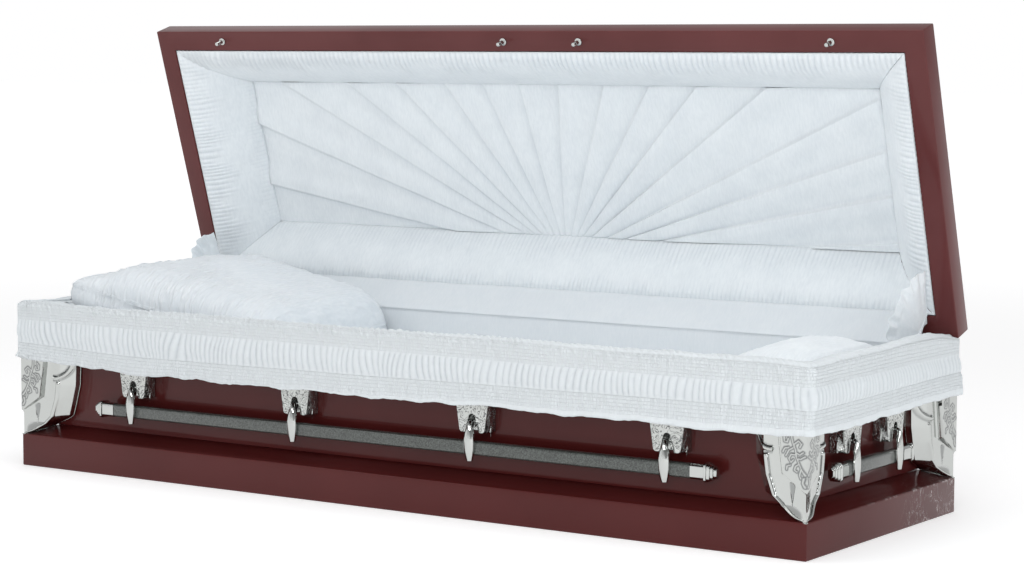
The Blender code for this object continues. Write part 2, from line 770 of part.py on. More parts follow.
def ear_mesh():
    """Handle ear: back block, raked front plate and the arched notch for the arm's neck."""
    back = box_mesh(
        "ear",
        (-EAR_BACK_HALF, -EAR_BACK_DEPTH, EAR_BOTTOM + 0.001),
        (EAR_BACK_HALF, -GAP, EAR_TOP - 0.001),
    )
    front = ear_outline(EAR_BOTTOM_HALF, EAR_DEPTH)
    rear = ear_outline(EAR_FOOT_HALF, EAR_BACK_DEPTH - 0.002)
    plate = loft_mesh("ear_plate", [front, rear], split=True)
    centre = (0.0, NOTCH_TOP - NOTCH_RADIUS)
    arch = [
        (NOTCH_FOOT_HALF, EAR_BOTTOM - 0.01),
        *arc(centre, NOTCH_RADIUS, 0, 180, 8),
        (-NOTCH_FOOT_HALF, EAR_BOTTOM - 0.01),
    ]
    notch = prism_mesh("ear_notch", arch, -EAR_DEPTH - 0.01, -NOTCH_WALL)
    half = pin_half() + PIN_CLEARANCE
    bore = rod_mesh("ear_bore", PIN_RADIUS + PIN_CLEARANCE, 2 * half, 10, "X", -half)
    for vert in bore.vertices:
        vert.co += Vector((0.0, -PIN_STAND, PIN_HEIGHT))
    return shaped(back, [(plate, "UNION"), (notch, "DIFFERENCE"), (bore, "DIFFERENCE")])


def pin_half():
    """Half the pin's length: the notch's half width at its height, and its seat."""
    fall = (NOTCH_TOP - NOTCH_RADIUS - PIN_HEIGHT) / (NOTCH_TOP - NOTCH_RADIUS - EAR_BOTTOM + 0.01)
    return NOTCH_RADIUS + (NOTCH_FOOT_HALF - NOTCH_RADIUS) * max(0.0, fall) + PIN_SEAT


def arm_mesh():
    """Arm: a neck round the pin and a ridged leaf down the front of the bar."""
    face = BAR_STAND + BAR_DEEP / 2 + GAP
    low_neck = PIN_HEIGHT - NECK_THICKNESS / 2
    span = LEAF_TOP - LEAF_BOTTOM
    spine = [
        (PIN_STAND - 0.0050, low_neck - 0.0010, NECK_HALF, NECK_THICKNESS),
        (PIN_STAND + 0.0025, low_neck, NECK_HALF, NECK_THICKNESS),
        (face - 0.0028, low_neck + 0.0004, NECK_HALF + 0.0005, NECK_THICKNESS),
        (face, LEAF_TOP - span * 0.05, NECK_HALF + 0.0012, NECK_THICKNESS + 0.002),
        (face, LEAF_TOP - span * 0.22, LEAF_HALF * 0.80, LEAF_RIDGE * 0.85),
        (face, LEAF_TOP - span * 0.45, LEAF_HALF, LEAF_RIDGE),
        (face, LEAF_TOP - span * 0.66, LEAF_HALF * 0.98, LEAF_RIDGE),
        (face, LEAF_TOP - span * 0.84, LEAF_HALF * 0.80, LEAF_RIDGE * 0.90),
        (face, LEAF_BOTTOM, LEAF_HALF * 0.55, LEAF_RIDGE * 0.72),
    ]
    sections = []
    for i, (out, z, half, thick) in enumerate(spine):
        before = Vector(spine[max(i - 1, 0)][:2])
        after = Vector(spine[min(i + 1, len(spine) - 1)][:2])
        way = (after - before).normalized()
        normal = Vector((-way.y, way.x))
        side = (half * 0.9, thick * 0.55)
        profile = [(-half, 0.0), (-side[0], side[1]), (0.0, thick), side, (half, 0.0)]
        section = []
        for x, n in profile:
            point = Vector((out, z)) + normal * n
            section.append(Vector((x, PIN_STAND - point.x, point.y - PIN_HEIGHT)))
        sections.append(section)
    half = pin_half()
    pin = rod_mesh("arm_pin", PIN_RADIUS, 2 * half, 10, "X", -half)
    return shaped(loft_mesh("arm", sections), [(pin, "UNION")])


def octagon(half_deep, half_tall, cut, x):
    """A chamfered rectangle across the bar, about the bar's own axis."""
    d, t = half_deep, half_tall
    points = [
        (-d, -t + cut), (-d, t - cut), (-d + cut, t), (d - cut, t),
        (d, t - cut), (d, -t + cut), (d - cut, -t), (-d + cut, -t),
    ]
    return [Vector((x, PIN_STAND - BAR_STAND + y, BAR_HEIGHT - PIN_HEIGHT + z)) for y, z in points]


def bar_mesh(name, half):
    sections = [octagon(BAR_DEEP / 2, BAR_TALL / 2, BAR_CHAMFER, x) for x in (-half, half)]
    return loft_mesh(name, sections)


def tip_mesh():
    """Cast end of a bar: collar, flange and stepped rings, from x = 0 outwards."""
    steps = [
        (GAP, 0.0008), (0.034, 0.0008), (0.0345, 0.0045), (0.0395, 0.0045), (0.040, 0.0018),
        (0.0465, 0.0018), (0.047, -0.0012), (0.053, -0.0012), (0.0535, -0.0042), (TIP_LENGTH, -0.0045),
    ]
    sections = []
    for x, grow in steps:
        sections.append(octagon(BAR_DEEP / 2 + grow, BAR_TALL / 2 + grow, BAR_CHAMFER + 0.001, x))
    return loft_mesh("bar_tip", sections)


def handles():
    """Ears on the panels, and on each side a bar with its arms and tips."""
    ear = ear_mesh()
    arm = arm_mesh()
    tip = tip_mesh()
    side_reach = max(ARM_X) + BAR_SIDE_OVERHANG
    end_reach = max(ARM_Y) + BAR_END_OVERHANG
    long_bar = bar_mesh("long_bar", side_reach - TIP_LENGTH)
    short_bar = bar_mesh("short_bar", end_reach - TIP_LENGTH)
    sides = {
        "front": ((0.0, -PANEL_Y), 0.0, ARM_X, long_bar, side_reach),
        "foot": ((PANEL_X, 0.0), math.pi / 2, ARM_Y, short_bar, end_reach),
        "back": ((0.0, PANEL_Y), math.pi, ARM_X, long_bar, side_reach),
        "head": ((-PANEL_X, 0.0), -math.pi / 2, ARM_Y, short_bar, end_reach),
    }
    for side, (foot, turn, arms, bar, reach) in sides.items():
        c, s = math.cos(turn), math.sin(turn)
        pin = (foot[0] + PIN_STAND * s, foot[1] - PIN_STAND * c, PIN_HEIGHT)
        swing = joint_empty(f"{side}_swing_axis", pin, turn)
        for number, along in enumerate(arms):
            at = (foot[0] + along * c, foot[1] + along * s, 0.0)
            place(f"ear_{side}_{number + 1}", ear, CHROME, at, turn)
            place(f"arm_{side}_{number + 1}", arm, CHROME, (along, 0.0, 0.0), parent=swing)
        place(f"bar_{side}", bar, BAR_FINISH, parent=swing)
        start = reach - TIP_LENGTH
        place(f"tip_{side}_1", tip, CHROME, (start, 0.0, 0.0), parent=swing)
        flipped = place(f"tip_{side}_2", tip, CHROME, (-start, 0.0, 0.0), parent=swing)
        flipped.data.flip_normals()
        for vert in flipped.data.vertices:
            vert.co.x = -vert.co.x


def lid():
    hinge = joint_empty("lid_hinge_axis", (0.0, HINGE_Y, HINGE_Z), tilt=-OPEN_ANGLE)
    lid_shell(hinge)
    lid_lining(hinge)
    latch_studs(hinge)
    hinge_leaf("hinge_leaf_lid", 1, 1, hinge)
    hinge_leaf("hinge_leaf_body", 0, -1, None)


for leftover in list(bpy.data.objects):
    bpy.data.objects.remove(leftover)
PARTS = collection("funeral_casket")
CUTTERS = collection("cutters")
base_pan()
body_walls()
wall_lining()
bed_frame()
soft_interior()
overlay()
corner_webs()
hinge_apron()
corner_castings()
handles()
lid()
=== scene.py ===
import json
import math

import bpy
import numpy as np
from mathutils import Matrix, Vector

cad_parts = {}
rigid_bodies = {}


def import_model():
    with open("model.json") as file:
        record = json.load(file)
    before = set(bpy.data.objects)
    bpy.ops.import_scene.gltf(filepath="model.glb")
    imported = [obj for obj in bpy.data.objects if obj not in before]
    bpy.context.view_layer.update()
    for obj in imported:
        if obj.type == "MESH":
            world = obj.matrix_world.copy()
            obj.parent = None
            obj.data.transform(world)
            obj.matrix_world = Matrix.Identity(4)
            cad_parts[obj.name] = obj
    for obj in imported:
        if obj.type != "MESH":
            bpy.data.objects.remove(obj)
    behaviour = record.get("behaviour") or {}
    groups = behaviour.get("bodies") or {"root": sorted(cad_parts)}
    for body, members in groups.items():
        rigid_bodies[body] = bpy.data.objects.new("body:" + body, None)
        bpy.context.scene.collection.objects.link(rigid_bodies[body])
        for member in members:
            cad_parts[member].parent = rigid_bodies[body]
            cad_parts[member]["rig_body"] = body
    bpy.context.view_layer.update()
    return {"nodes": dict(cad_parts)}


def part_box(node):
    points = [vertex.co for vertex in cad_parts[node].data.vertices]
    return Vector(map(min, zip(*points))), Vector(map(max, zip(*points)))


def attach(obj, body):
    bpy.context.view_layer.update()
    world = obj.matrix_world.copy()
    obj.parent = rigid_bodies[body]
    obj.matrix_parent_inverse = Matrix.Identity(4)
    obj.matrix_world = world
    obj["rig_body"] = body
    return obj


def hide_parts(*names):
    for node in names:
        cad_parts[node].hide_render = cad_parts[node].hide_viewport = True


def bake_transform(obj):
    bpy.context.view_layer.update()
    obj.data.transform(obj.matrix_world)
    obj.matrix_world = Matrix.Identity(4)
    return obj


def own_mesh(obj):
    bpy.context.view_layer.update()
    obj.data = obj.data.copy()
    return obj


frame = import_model()
nodes = frame["nodes"]


# Bottom pan and panels. Pressed steel sprayed a glossy maroon: the pan's band turns in
# to a hollow slope, and the panels rise from it to the rail. The sheet's corners and
# folds are rounded by the press, and the foot end's band carries white scuffs.

MAROON = (0.082, 0.0125, 0.0120)
MAROON_DEEP = (0.052, 0.0060, 0.0055)
# Painted light: the same maroon mixed lighter for the lid, for the brighter reflection on it.
MAROON_LID_LIT = (0.118, 0.032, 0.032)
SCUFF = (0.66, 0.61, 0.60)
FOLD_RADIUS = 0.0022


class Value:
    """A shader socket that Python's own signs work on."""

    def __init__(self, finish, socket):
        self.finish = finish
        self.socket = socket

    def math(self, operation, *others):
        return self.finish.add("ShaderNodeMath", {"operation": operation}, (self, *others))

    def __add__(self, other):
        return self.math("ADD", other)

    def __radd__(self, other):
        return self.math("ADD", other)

    def __sub__(self, other):
        return self.math("SUBTRACT", other)

    def __rsub__(self, other):
        return self.finish.add("ShaderNodeMath", {"operation": "SUBTRACT"}, (other, self))

    def __mul__(self, other):
        return self.math("MULTIPLY", other)

    def __rmul__(self, other):
        return self.math("MULTIPLY", other)

    def __pow__(self, other):
        return self.math("POWER", other)

    def ramp(self, low, high):
        """0 at low and 1 at high, with soft ends."""
        settings = {"interpolation_type": "SMOOTHSTEP"}
        return self.finish.add("ShaderNodeMapRange", settings, {0: self, 1: low, 2: high})


class Finish:
    """A procedural material: a Principled shader and the nodes that feed it."""

    def __init__(self, name, colour, roughness, **fixed):
        self.material = bpy.data.materials.new(name)
        self.material.use_nodes = True
        self.tree = self.material.node_tree
        self.shader = self.tree.nodes["Principled BSDF"]
        self.set("Base Color", (*colour, 1.0))
        self.set("Roughness", roughness)
        for key, value in fixed.items():
            self.set(key.replace("_", " "), value)

    def set(self, key, value):
        if isinstance(value, Value):
            self.tree.links.new(value.socket, self.shader.inputs[key])
        else:
            self.shader.inputs[key].default_value = value

    def add(self, kind, settings=None, inputs=(), output=0):
        node = self.tree.nodes.new(kind)
        for key, value in (settings or {}).items():
            setattr(node, key, value)
        pairs = inputs.items() if isinstance(inputs, dict) else enumerate(inputs)
        for key, value in pairs:
            if isinstance(value, Value):
                self.tree.links.new(value.socket, node.inputs[key])
            else:
                node.inputs[key].default_value = value
        return Value(self, node.outputs[output])

    def place(self, scale=(1.0, 1.0, 1.0), turn=(0.0, 0.0, 0.0), uv=False):
        source = self.add("ShaderNodeTexCoord", output="UV" if uv else "Object")
        return self.add("ShaderNodeMapping", inputs={"Vector": source, "Scale": scale, "Rotation": turn})

    def noise(self, scale, detail=2.0, place=None, **more):
        inputs = {"Vector": place or self.place(), "Scale": scale, "Detail": detail, **more}
        return self.add("ShaderNodeTexNoise", inputs=inputs)

    def mix(self, factor, a, b):
        """A colour that goes from a to b with the factor."""
        a = a if isinstance(a, Value) else (*a, 1.0)
        b = b if isinstance(b, Value) else (*b, 1.0)
        return self.add("ShaderNodeMix", {"data_type": "RGBA"}, {0: factor, 6: a, 7: b}, output=2)

    def bump(self, height, strength, distance):
        inputs = {"Strength": strength, "Distance": distance, "Height": height}
        self.set("Normal", self.add("ShaderNodeBump", inputs=inputs))


def maroon_paint(name, scuffed=False, shade=MAROON):
    """High gloss enamel, faintly rippled by the spray, over the steel."""
    paint = Finish(name, shade, 0.36, Coat_Weight=0.46, Coat_Roughness=0.04, Coat_IOR=1.45, Specular_IOR_Level=0.05)
    cloud = paint.noise(3.0, 3.0).ramp(0.3, 0.7)
    colour = paint.mix(cloud * 0.4, shade, MAROON_DEEP)
    rough = 0.34 + 0.05 * cloud
    ripple = paint.noise(160.0, 1.0)
    if scuffed:
        spot = paint.add("ShaderNodeSeparateXYZ", inputs=(paint.add("ShaderNodeTexCoord", output="Object"),))
        x = spot
        y = Value(paint, spot.socket.node.outputs[1])
        z = Value(paint, spot.socket.node.outputs[2])
        zone = x.ramp(1.0, 1.045) * y.ramp(0.05, 0.20) * (1 - z.ramp(0.088, 0.097))
        warp = paint.noise(9.0, 4.0, Distortion=1.2)
        veins = paint.noise(26.0, 6.0, paint.place((1.0, 1.0, 0.45), (0.6, 0.0, 0.0)), Distortion=2.2)
        lines = 1 - ((veins - 0.5).math("ABSOLUTE")).ramp(0.0, 0.012)
        patches = warp.ramp(0.44, 0.60)
        haze = paint.noise(60.0, 5.0).ramp(0.52, 0.75) * warp.ramp(0.50, 0.66) * 0.30
        rubbed = zone * (lines * patches * 0.75 + haze)
        edge = z.ramp(0.0715, 0.0765) * (1 - z.ramp(0.0775, 0.0800)) * x.ramp(1.055, 1.062)
        chipped = edge * y.ramp(-0.15, 0.3) * paint.noise(40.0, 5.0).ramp(0.50, 0.62) * 0.6
        mark = (rubbed + chipped).math("MINIMUM", 1.0)
        colour = paint.mix(mark, colour, SCUFF)
        rough = rough + 0.25 * mark
    paint.set("Base Color", colour)
    paint.set("Roughness", rough)
    paint.bump(ripple, 0.06, 0.0006)
    return paint.material


def show_only(obj):
    """Leaves obj alone selected and active."""
    bpy.ops.object.select_all(action="DESELECT")
    obj.select_set(True)
    bpy.context.view_layer.objects.active = obj


def pressed_copy(node, material, radius, pick, segments=3, angle=32.0):
    """A CAD node's shape with its picked sharp edges rounded, standing for the node."""
    obj = bpy.data.objects.new(f"{node}_finished", nodes[node].data.copy())
    bpy.context.scene.collection.objects.link(obj)
    show_only(obj)
    bpy.ops.object.mode_set(mode="EDIT")
    bpy.ops.mesh.select_mode(type="EDGE")
    bpy.ops.mesh.select_all(action="SELECT")
    bpy.ops.mesh.remove_doubles(threshold=0.00002)
    bpy.ops.mesh.dissolve_limited(angle_limit=math.radians(0.5))
    bpy.ops.mesh.select_all(action="DESELECT")
    bpy.ops.mesh.edges_select_sharp(sharpness=math.radians(angle))
    bpy.ops.object.mode_set(mode="OBJECT")
    co = [v.co for v in obj.data.vertices]
    for edge in obj.data.edges:
        a, b = co[edge.vertices[0]], co[edge.vertices[1]]
        edge.select = edge.select and pick((a + b) / 2, a, b)
    bpy.ops.object.mode_set(mode="EDIT")
    bpy.ops.mesh.bevel(offset=radius, segments=segments, profile=0.5, clamp_overlap=False)
    bpy.ops.object.mode_set(mode="OBJECT")
    obj.data.materials.clear()
    obj.data.materials.append(material)
    show_only(obj)
    bpy.ops.object.shade_smooth_by_angle(angle=math.radians(angle))
    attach(obj, nodes[node]["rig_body"])
    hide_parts(node)
    return obj


pan_low, pan_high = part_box("base_pan")
HALF_LENGTH = pan_high.x
HALF_WIDTH = pan_high.y


def outermost(middle, a, b):
    """The pan's outer folds and upright corners, not the edges of its sheet inside."""
    on_end = abs(middle.x) > HALF_LENGTH - 0.0005
    on_side = abs(middle.y) > HALF_WIDTH - 0.0005
    return on_end or on_side


pan = pressed_copy("base_pan", maroon_paint("maroon_pan", scuffed=True), FOLD_RADIUS, outermost)
walls = pressed_copy("body_walls", maroon_paint("maroon_panels"), FOLD_RADIUS, outermost)


# Corner castings. Plated covers like half a shield on each side of a corner: a rib runs
# round the edge, and a raised pilaster with a vine on it folds over the corner itself.
# Under the pilaster a small leaf is sunk in each wing, and a crescent curls at the top.

CASTING_PROUD = 0.057
CASTING_TOP = 0.284
CASTING_WALL = 0.0012
CHROME = (0.53, 0.545, 0.53)
# Painted shade: the dark plating colour mixed into sunk relief and scroll grooves.
CHROME_PAINTED_SHADE = (0.10, 0.105, 0.11)
WING_FACE = [(0.0768, 0.001), (0.084, 0.026), (0.092, 0.042), (0.104, 0.062), (0.123, 0.084),
             (0.165, 0.099), (0.200, 0.104), (0.290, 0.105)]
WING_REACH = [(0.0768, 0.002), (0.084, 0.030), (0.092, 0.047), (0.104, 0.070), (0.116, 0.100),
              (0.125, 0.114), (0.150, 0.122), (0.200, 0.136), (0.240, 0.138), (0.290, 0.138)]
VINE = [
    [(0.034, 0.262), (0.033, 0.245), (0.030, 0.235), (0.024, 0.222), (0.022, 0.208), (0.013, 0.190), (0.003, 0.172)],
    [(0.045, 0.252), (0.051, 0.246), (0.050, 0.237), (0.043, 0.236), (0.041, 0.243)],
    [(0.028, 0.232), (0.017, 0.240), (0.010, 0.234), (0.014, 0.227)],
    [(0.022, 0.212), (0.034, 0.212), (0.039, 0.203), (0.034, 0.196), (0.029, 0.201)],
    [(0.022, 0.216), (0.014, 0.212), (0.007, 0.217)],
    [(0.020, 0.204), (0.011, 0.204), (0.004, 0.209)],
    [(0.015, 0.194), (0.023, 0.189), (0.026, 0.181), (0.020, 0.178)],
    [(0.010, 0.183), (0.014, 0.172), (0.011, 0.165)],
    [(0.040, 0.225), (0.049, 0.223), (0.053, 0.215)],
    [(0.030, 0.225), (0.039, 0.220), (0.046, 0.208)],
    [(0.005, 0.166), (0.007, 0.156), (0.003, 0.148)],
    [(0.036, 0.190), (0.043, 0.188), (0.044, 0.181)],
]


def between(table, at):
    """Values read from a table of (at, value) pairs."""
    return np.interp(at, [a for a, _ in table], [b for _, b in table])


def soft_step(low, high, x):
    t = np.clip((x - low) / (high - low), 0.0, 1.0)
    return t * t * (3.0 - 2.0 * t)


def near_strokes(s, z, strokes):
    """How far each point is from the nearest of some drawn strokes."""
    best = np.full(s.shape, 1.0)
    for stroke in strokes:
        for (s0, z0), (s1, z1) in zip(stroke, stroke[1:]):
            ds, dz = s1 - s0, z1 - z0
            t = np.clip(((s - s0) * ds + (z - z0) * dz) / (ds * ds + dz * dz), 0.0, 1.0)
            best = np.minimum(best, np.hypot(s - s0 - t * ds, z - z0 - t * dz))
    return best


def grid_piece(name, columns, rows, form):
    """A grid, with each point put in place by form(u, v), where u and v run 0 to 1."""
    bpy.ops.object.select_all(action="DESELECT")
    bpy.ops.mesh.primitive_grid_add(x_subdivisions=columns, y_subdivisions=rows, size=1.0, calc_uvs=True)
    obj = bpy.context.object
    obj.name = name
    flat = np.empty(len(obj.data.vertices) * 3)
    obj.data.vertices.foreach_get("co", flat)
    flat = flat.reshape(-1, 3)
    set_points(obj, form(flat[:, 0] + 0.5, flat[:, 1] + 0.5))
    return obj


def points(obj):
    flat = np.empty(len(obj.data.vertices) * 3)
    obj.data.vertices.foreach_get("co", flat)
    return flat.reshape(-1, 3)


def set_points(obj, xyz):
    obj.data.vertices.foreach_set("co", np.ascontiguousarray(xyz).ravel())
    obj.data.update()


def normals(obj):
    flat = np.empty(len(obj.data.vertices) * 3)
    obj.data.vertices.foreach_get("normal", flat)
    return flat.reshape(-1, 3)


def write_mark(obj, name, values):
    """Stores a value at each point for the material to read."""
    mark = obj.data.attributes.new(name, "FLOAT", "POINT")
    mark.data.foreach_set("value", values.astype(np.float32))


def chrome(name, marked=False, curled=False, roughness=0.055):
    """Bright plating: hazier in patches, with painted shade in its recesses and scroll grooves."""
    plate = Finish(name, CHROME, roughness, Metallic=1.0)
    haze = plate.noise(45.0, 4.0)
    plate.set("Roughness", roughness + 0.06 * haze.ramp(0.45, 0.8))
    if marked:
        # Painted shade: the recess mark darkens the plating where the casting's relief is sunk.
        low = plate.add("ShaderNodeAttribute", {"attribute_name": "recess"}, output="Fac")
        plate.set("Base Color", plate.mix(low, CHROME, CHROME_PAINTED_SHADE))
    ripple = plate.noise(30.0, 2.0)
    plate.bump(ripple, 0.10, 0.0010)
    if curled:
        # Painted shade: the scroll lines are darkened as well as sunk by the bump.
        scroll = (plate.noise(62.0, 0.0, Distortion=2.6) - 0.5).math("ABSOLUTE").ramp(0.0, 0.055)
        plate.set("Base Color", plate.mix((1 - scroll) * 0.75, CHROME, CHROME_PAINTED_SHADE))
        plate.bump(scroll, 0.55, 0.0014)
    return plate.material


def casting_form(u, v):
    """One casting about its corner; u crosses both wings and v climbs."""
    side = u - 0.5
    a = np.abs(side) * 2.0
    z = 0.0768 + (CASTING_TOP - 0.0768) * (0.35 * v + 0.65 * v ** 1.25)
    face = between(WING_FACE, z)
    reach = np.maximum(between(WING_REACH, z), face + 0.002)
    wide = between([(0.134, 0.0), (0.169, 0.052), (0.250, 0.063), (0.290, 0.066)], z)
    edge = np.where(z > 0.169, wide, np.minimum(0.052, face * 0.62))
    s = np.where(a < 0.5, edge * a / 0.5, edge + (face - edge) * (a - 0.5) / 0.3)
    s = np.where(a < 0.8, s, face + (reach - face) * (a - 0.8) / 0.2)
    t = np.clip(s / np.maximum(face, 1e-6), 0.0, 1.0)
    q = CASTING_PROUD - (CASTING_PROUD - 0.0415) * t ** 1.15 * soft_step(0.0768, 0.110, z)
    q -= 0.0045 * np.sin(np.pi * t) * soft_step(0.080, 0.130, z)
    rib_at = face - np.minimum(0.0055, face * 0.35)
    rib_wide = np.minimum(0.0060, face * 0.34 + 0.0006)
    inside = 1.0 - soft_step(0.203, 0.209, z)
    rib = np.clip(1.0 - ((s - rib_at) / rib_wide) ** 2, 0.0, 1.0) ** 0.5
    q += 0.0045 * rib * inside * soft_step(0.0768, 0.088, z)
    line = np.exp(-(((s - rib_at + 0.011) / 0.0014) ** 2)) * soft_step(0.118, 0.140, z) * inside
    q += 0.0006 * line
    crescent = np.abs(np.hypot(s - 0.088, z - 0.258) - 0.042)
    curl = np.clip(1.0 - (crescent / 0.0052) ** 2, 0.0, 1.0) ** 0.5 * (z < 0.252) * (s > 0.083)
    q += 0.0040 * curl
    out = np.clip((s - face) / np.maximum(reach - face, 1e-6), 0.0, 1.0)
    wall = 0.0415 + (0.0155 - 0.0415) * out
    q = np.where(s > face, wall + 0.0040 * curl, q)
    q = np.where(a > 0.985, np.minimum(q, 0.0032), q)
    low = 0.134 + (s - 0.005) * (0.169 - 0.134) / 0.047
    depth = np.minimum(z - low, (wide - s) * 1.4)
    raised = soft_step(-0.0012, 0.0018, depth)
    stem = near_strokes(s, z, VINE)
    carved = np.exp(-((stem / 0.0011) ** 2)) * (depth > 0.0018)
    vine_edge_shade = np.exp(-(((stem - 0.0028) / 0.0013) ** 2)) * (depth > 0.0018)
    flat_q = 0.0610 - 0.080 * s
    q = np.where(depth > -0.0012, q * (1.0 - raised) + (flat_q + 0.0008 * carved) * raised, q)
    bar = np.exp(-(((s - wide - 0.0065) / 0.0026) ** 4)) * soft_step(0.166, 0.170, z)
    q += 0.0022 * bar
    leaf_half = 0.0085 * soft_step(0.102, 0.150, z) * (z < 0.152)
    leaf = (1.0 - soft_step(0.6, 1.0, np.abs(s - 0.036) / np.maximum(leaf_half, 1e-5)))
    leaf = leaf * soft_step(0.101, 0.108, z) * (1.0 - soft_step(low - 0.006, low - 0.002, z))
    q -= 0.0016 * leaf
    slope = 0.060 * np.clip((0.0965 - z) / 0.020, 0.0, 1.0)
    q = np.maximum(q, slope + 0.0016)
    run = CASTING_PROUD + 0.004 * raised * np.exp(-((s / 0.004) ** 2)) - s
    blend_in = np.minimum(q, 0.0612)
    x = np.where(side < 0, run, blend_in)
    y = np.where(side < 0, -blend_in, -run)
    corner = s < 1e-5
    x = np.where(corner, q, x)
    y = np.where(corner, -q, y)
    # Painted shade: the ground beside the vine strokes, the sunk leaf and the band beside the crescent's curl are
    # marked dark for the plating.
    dark = np.clip(0.85 * vine_edge_shade * raised + 0.50 * leaf + 0.45 * (1.0 - curl) * np.exp(-((crescent - 0.007) / 0.002) ** 2) * (s > 0.083) * (z < 0.252), 0.0, 0.8)
    casting_form.recess = dark
    return np.stack([x, y, z], axis=1)


PANEL_X = HALF_LENGTH - 0.060
PANEL_Y = HALF_WIDTH - 0.060
casting = grid_piece("corner_casting", 260, 130, casting_form)
write_mark(casting, "recess", casting_form.recess)
casting.data.materials.append(chrome("chrome_castings", marked=True))
show_only(casting)
bpy.ops.object.modifier_add(type="SOLIDIFY")
casting.modifiers[-1].thickness = CASTING_WALL
casting.modifiers[-1].offset = -1.0
bpy.ops.object.modifier_apply(modifier=casting.modifiers[-1].name)
for corner, quarter in (("front_foot", 0), ("back_foot", 1), ("back_head", 2), ("front_head", 3)):
    turn = Matrix.Rotation(quarter * math.pi / 2, 4, "Z")
    c, s = round(math.cos(quarter * math.pi / 2)), round(math.sin(quarter * math.pi / 2))
    at = (PANEL_X * c, -PANEL_Y * c, 0.0) if s == 0 else (PANEL_X * s, PANEL_Y * s, 0.0)
    copy = bpy.data.objects.new(f"casting_{corner}", casting.data.copy())
    bpy.context.scene.collection.objects.link(copy)
    copy.data.transform(Matrix.Translation(at) @ turn)
    show_only(copy)
    bpy.ops.object.shade_smooth_by_angle(angle=math.radians(40))
    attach(copy, "shell")
    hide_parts(f"corner_casting_{corner}")
bpy.data.objects.remove(casting)


# Handles. Twelve plated ears are fixed to the panels, and an arm with a ridged leaf turns
# on a pin in each. The arms carry a bar of octagon tube in hammered grey enamel, with a
# plated tip of stepped rings pressed on each of its ends.

HAMMER_DARK = (0.012, 0.014, 0.013)
HAMMER_LIGHT = (0.090, 0.103, 0.093)


def hammered_enamel():
    """Grey enamel that dries in small dark and pale green-grey cells."""
    enamel = Finish("hammered_grey", HAMMER_DARK, 0.40, Metallic=0.35, Coat_Weight=1.0, Coat_Roughness=0.10)
    cells = enamel.add("ShaderNodeTexVoronoi", inputs={"Vector": enamel.place(), "Scale": 300.0})
    speck = enamel.noise(340.0, 3.0).ramp(0.44, 0.60)
    pale = (cells.ramp(0.15, 0.75) * 0.5 + speck * 0.5).math("MINIMUM", 1.0)
    enamel.set("Base Color", enamel.mix(pale, HAMMER_DARK, HAMMER_LIGHT))
    enamel.set("Roughness", 0.30 + 0.25 * pale)
    enamel.bump(cells + speck * 0.4, 0.35, 0.0006)
    return enamel.material


def every_edge(middle, a, b):
    return True


bright = chrome("chrome_handles", roughness=0.045)
ear_chrome = chrome("chrome_ears", curled=True, roughness=0.08)
hammered = hammered_enamel()
for name in sorted(nodes):
    kind = name.split("_")[0]
    if kind == "arm":
        pressed_copy(name, bright, 0.0007, every_edge, 2, 50.0)
    elif kind == "ear":
        pressed_copy(name, ear_chrome, 0.0011, every_edge, 3, 40.0)
    elif kind == "tip":
        pressed_copy(name, bright, 0.0007, every_edge, 2, 25.0)
    elif kind == "bar":
        pressed_copy(name, hammered, 0.0020, every_edge, 3, 25.0)


# Bed and wall lining. A steel deck on four legs, out of sight, carries the mattress, and
# padded boards in smooth white crepe line the panels all round.

CREPE = (0.80, 0.84, 0.862)
CREPE_SHADE = (0.62, 0.67, 0.71)
PILLOW_CREPE = (0.77, 0.805, 0.83)
LINING_CREPE = (0.72, 0.755, 0.78)


def crepe(name, crinkle=1.0, scale=(1.0, 1.0, 1.0), turn=(0.0, 0.0, 0.0), colour=CREPE, creased=0.0):
    """White crepe: a fine weave with short crinkles and streaks of darker tone, with painted shade in its hollows
    and painted highlights along any creases.
    """
    cloth = Finish(name, colour, 0.86, Sheen_Weight=0.25, Sheen_Roughness=0.5)
    at = cloth.place(scale, turn)
    long = cloth.noise(260.0, 3.0, cloth.place((scale[0], scale[1] * 0.22, scale[2] * 0.22), turn), Distortion=0.4)
    fine = cloth.noise(900.0, 2.0, at)
    soft = cloth.noise(14.0, 3.0, at)
    # Painted shade: the valley mark written on the lid's rolls and panel darkens the cloth towards the shade colour.
    hollow = cloth.add("ShaderNodeAttribute", {"attribute_name": "valley"}, output="Fac")
    shade = 0.30 * long.ramp(0.75, 0.25) + 0.20 * soft.ramp(0.7, 0.3) + hollow
    cloth.set("Roughness", 0.80 + 0.12 * fine)
    relief = long * 0.7 + fine * 0.3 + soft * 0.5
    if creased:
        slanting = cloth.noise(1.0, 1.0, cloth.place((150.0, 24.0, 24.0), (0.0, 0.0, 0.62))).ramp(0.42, 0.72)
        upright = cloth.noise(1.0, 1.0, cloth.place((120.0, 20.0, 20.0), (0.0, 0.0, -0.25))).ramp(0.42, 0.72)
        patch = cloth.noise(7.0, 1.0).ramp(0.42, 0.60)
        crease = slanting * patch + upright * (1 - patch) * 0.6
        relief = relief + creased * crease
        # Painted highlight: the cloth is lighter along the creases and darker between them.
        shade = shade + 0.35 * (1 - crease)
    cloth.set("Base Color", cloth.mix(shade.math("MINIMUM", 1.0), colour, CREPE_SHADE))
    cloth.bump(relief, 0.30 * crinkle, 0.0012)
    return cloth.material


def steel():
    plate = Finish("plain_steel", (0.45, 0.45, 0.46), 0.4, Metallic=1.0)
    streak = plate.noise(30.0, 4.0, plate.place((0.05, 1.0, 1.0)))
    plate.set("Roughness", 0.32 + 0.2 * streak)
    return plate.material


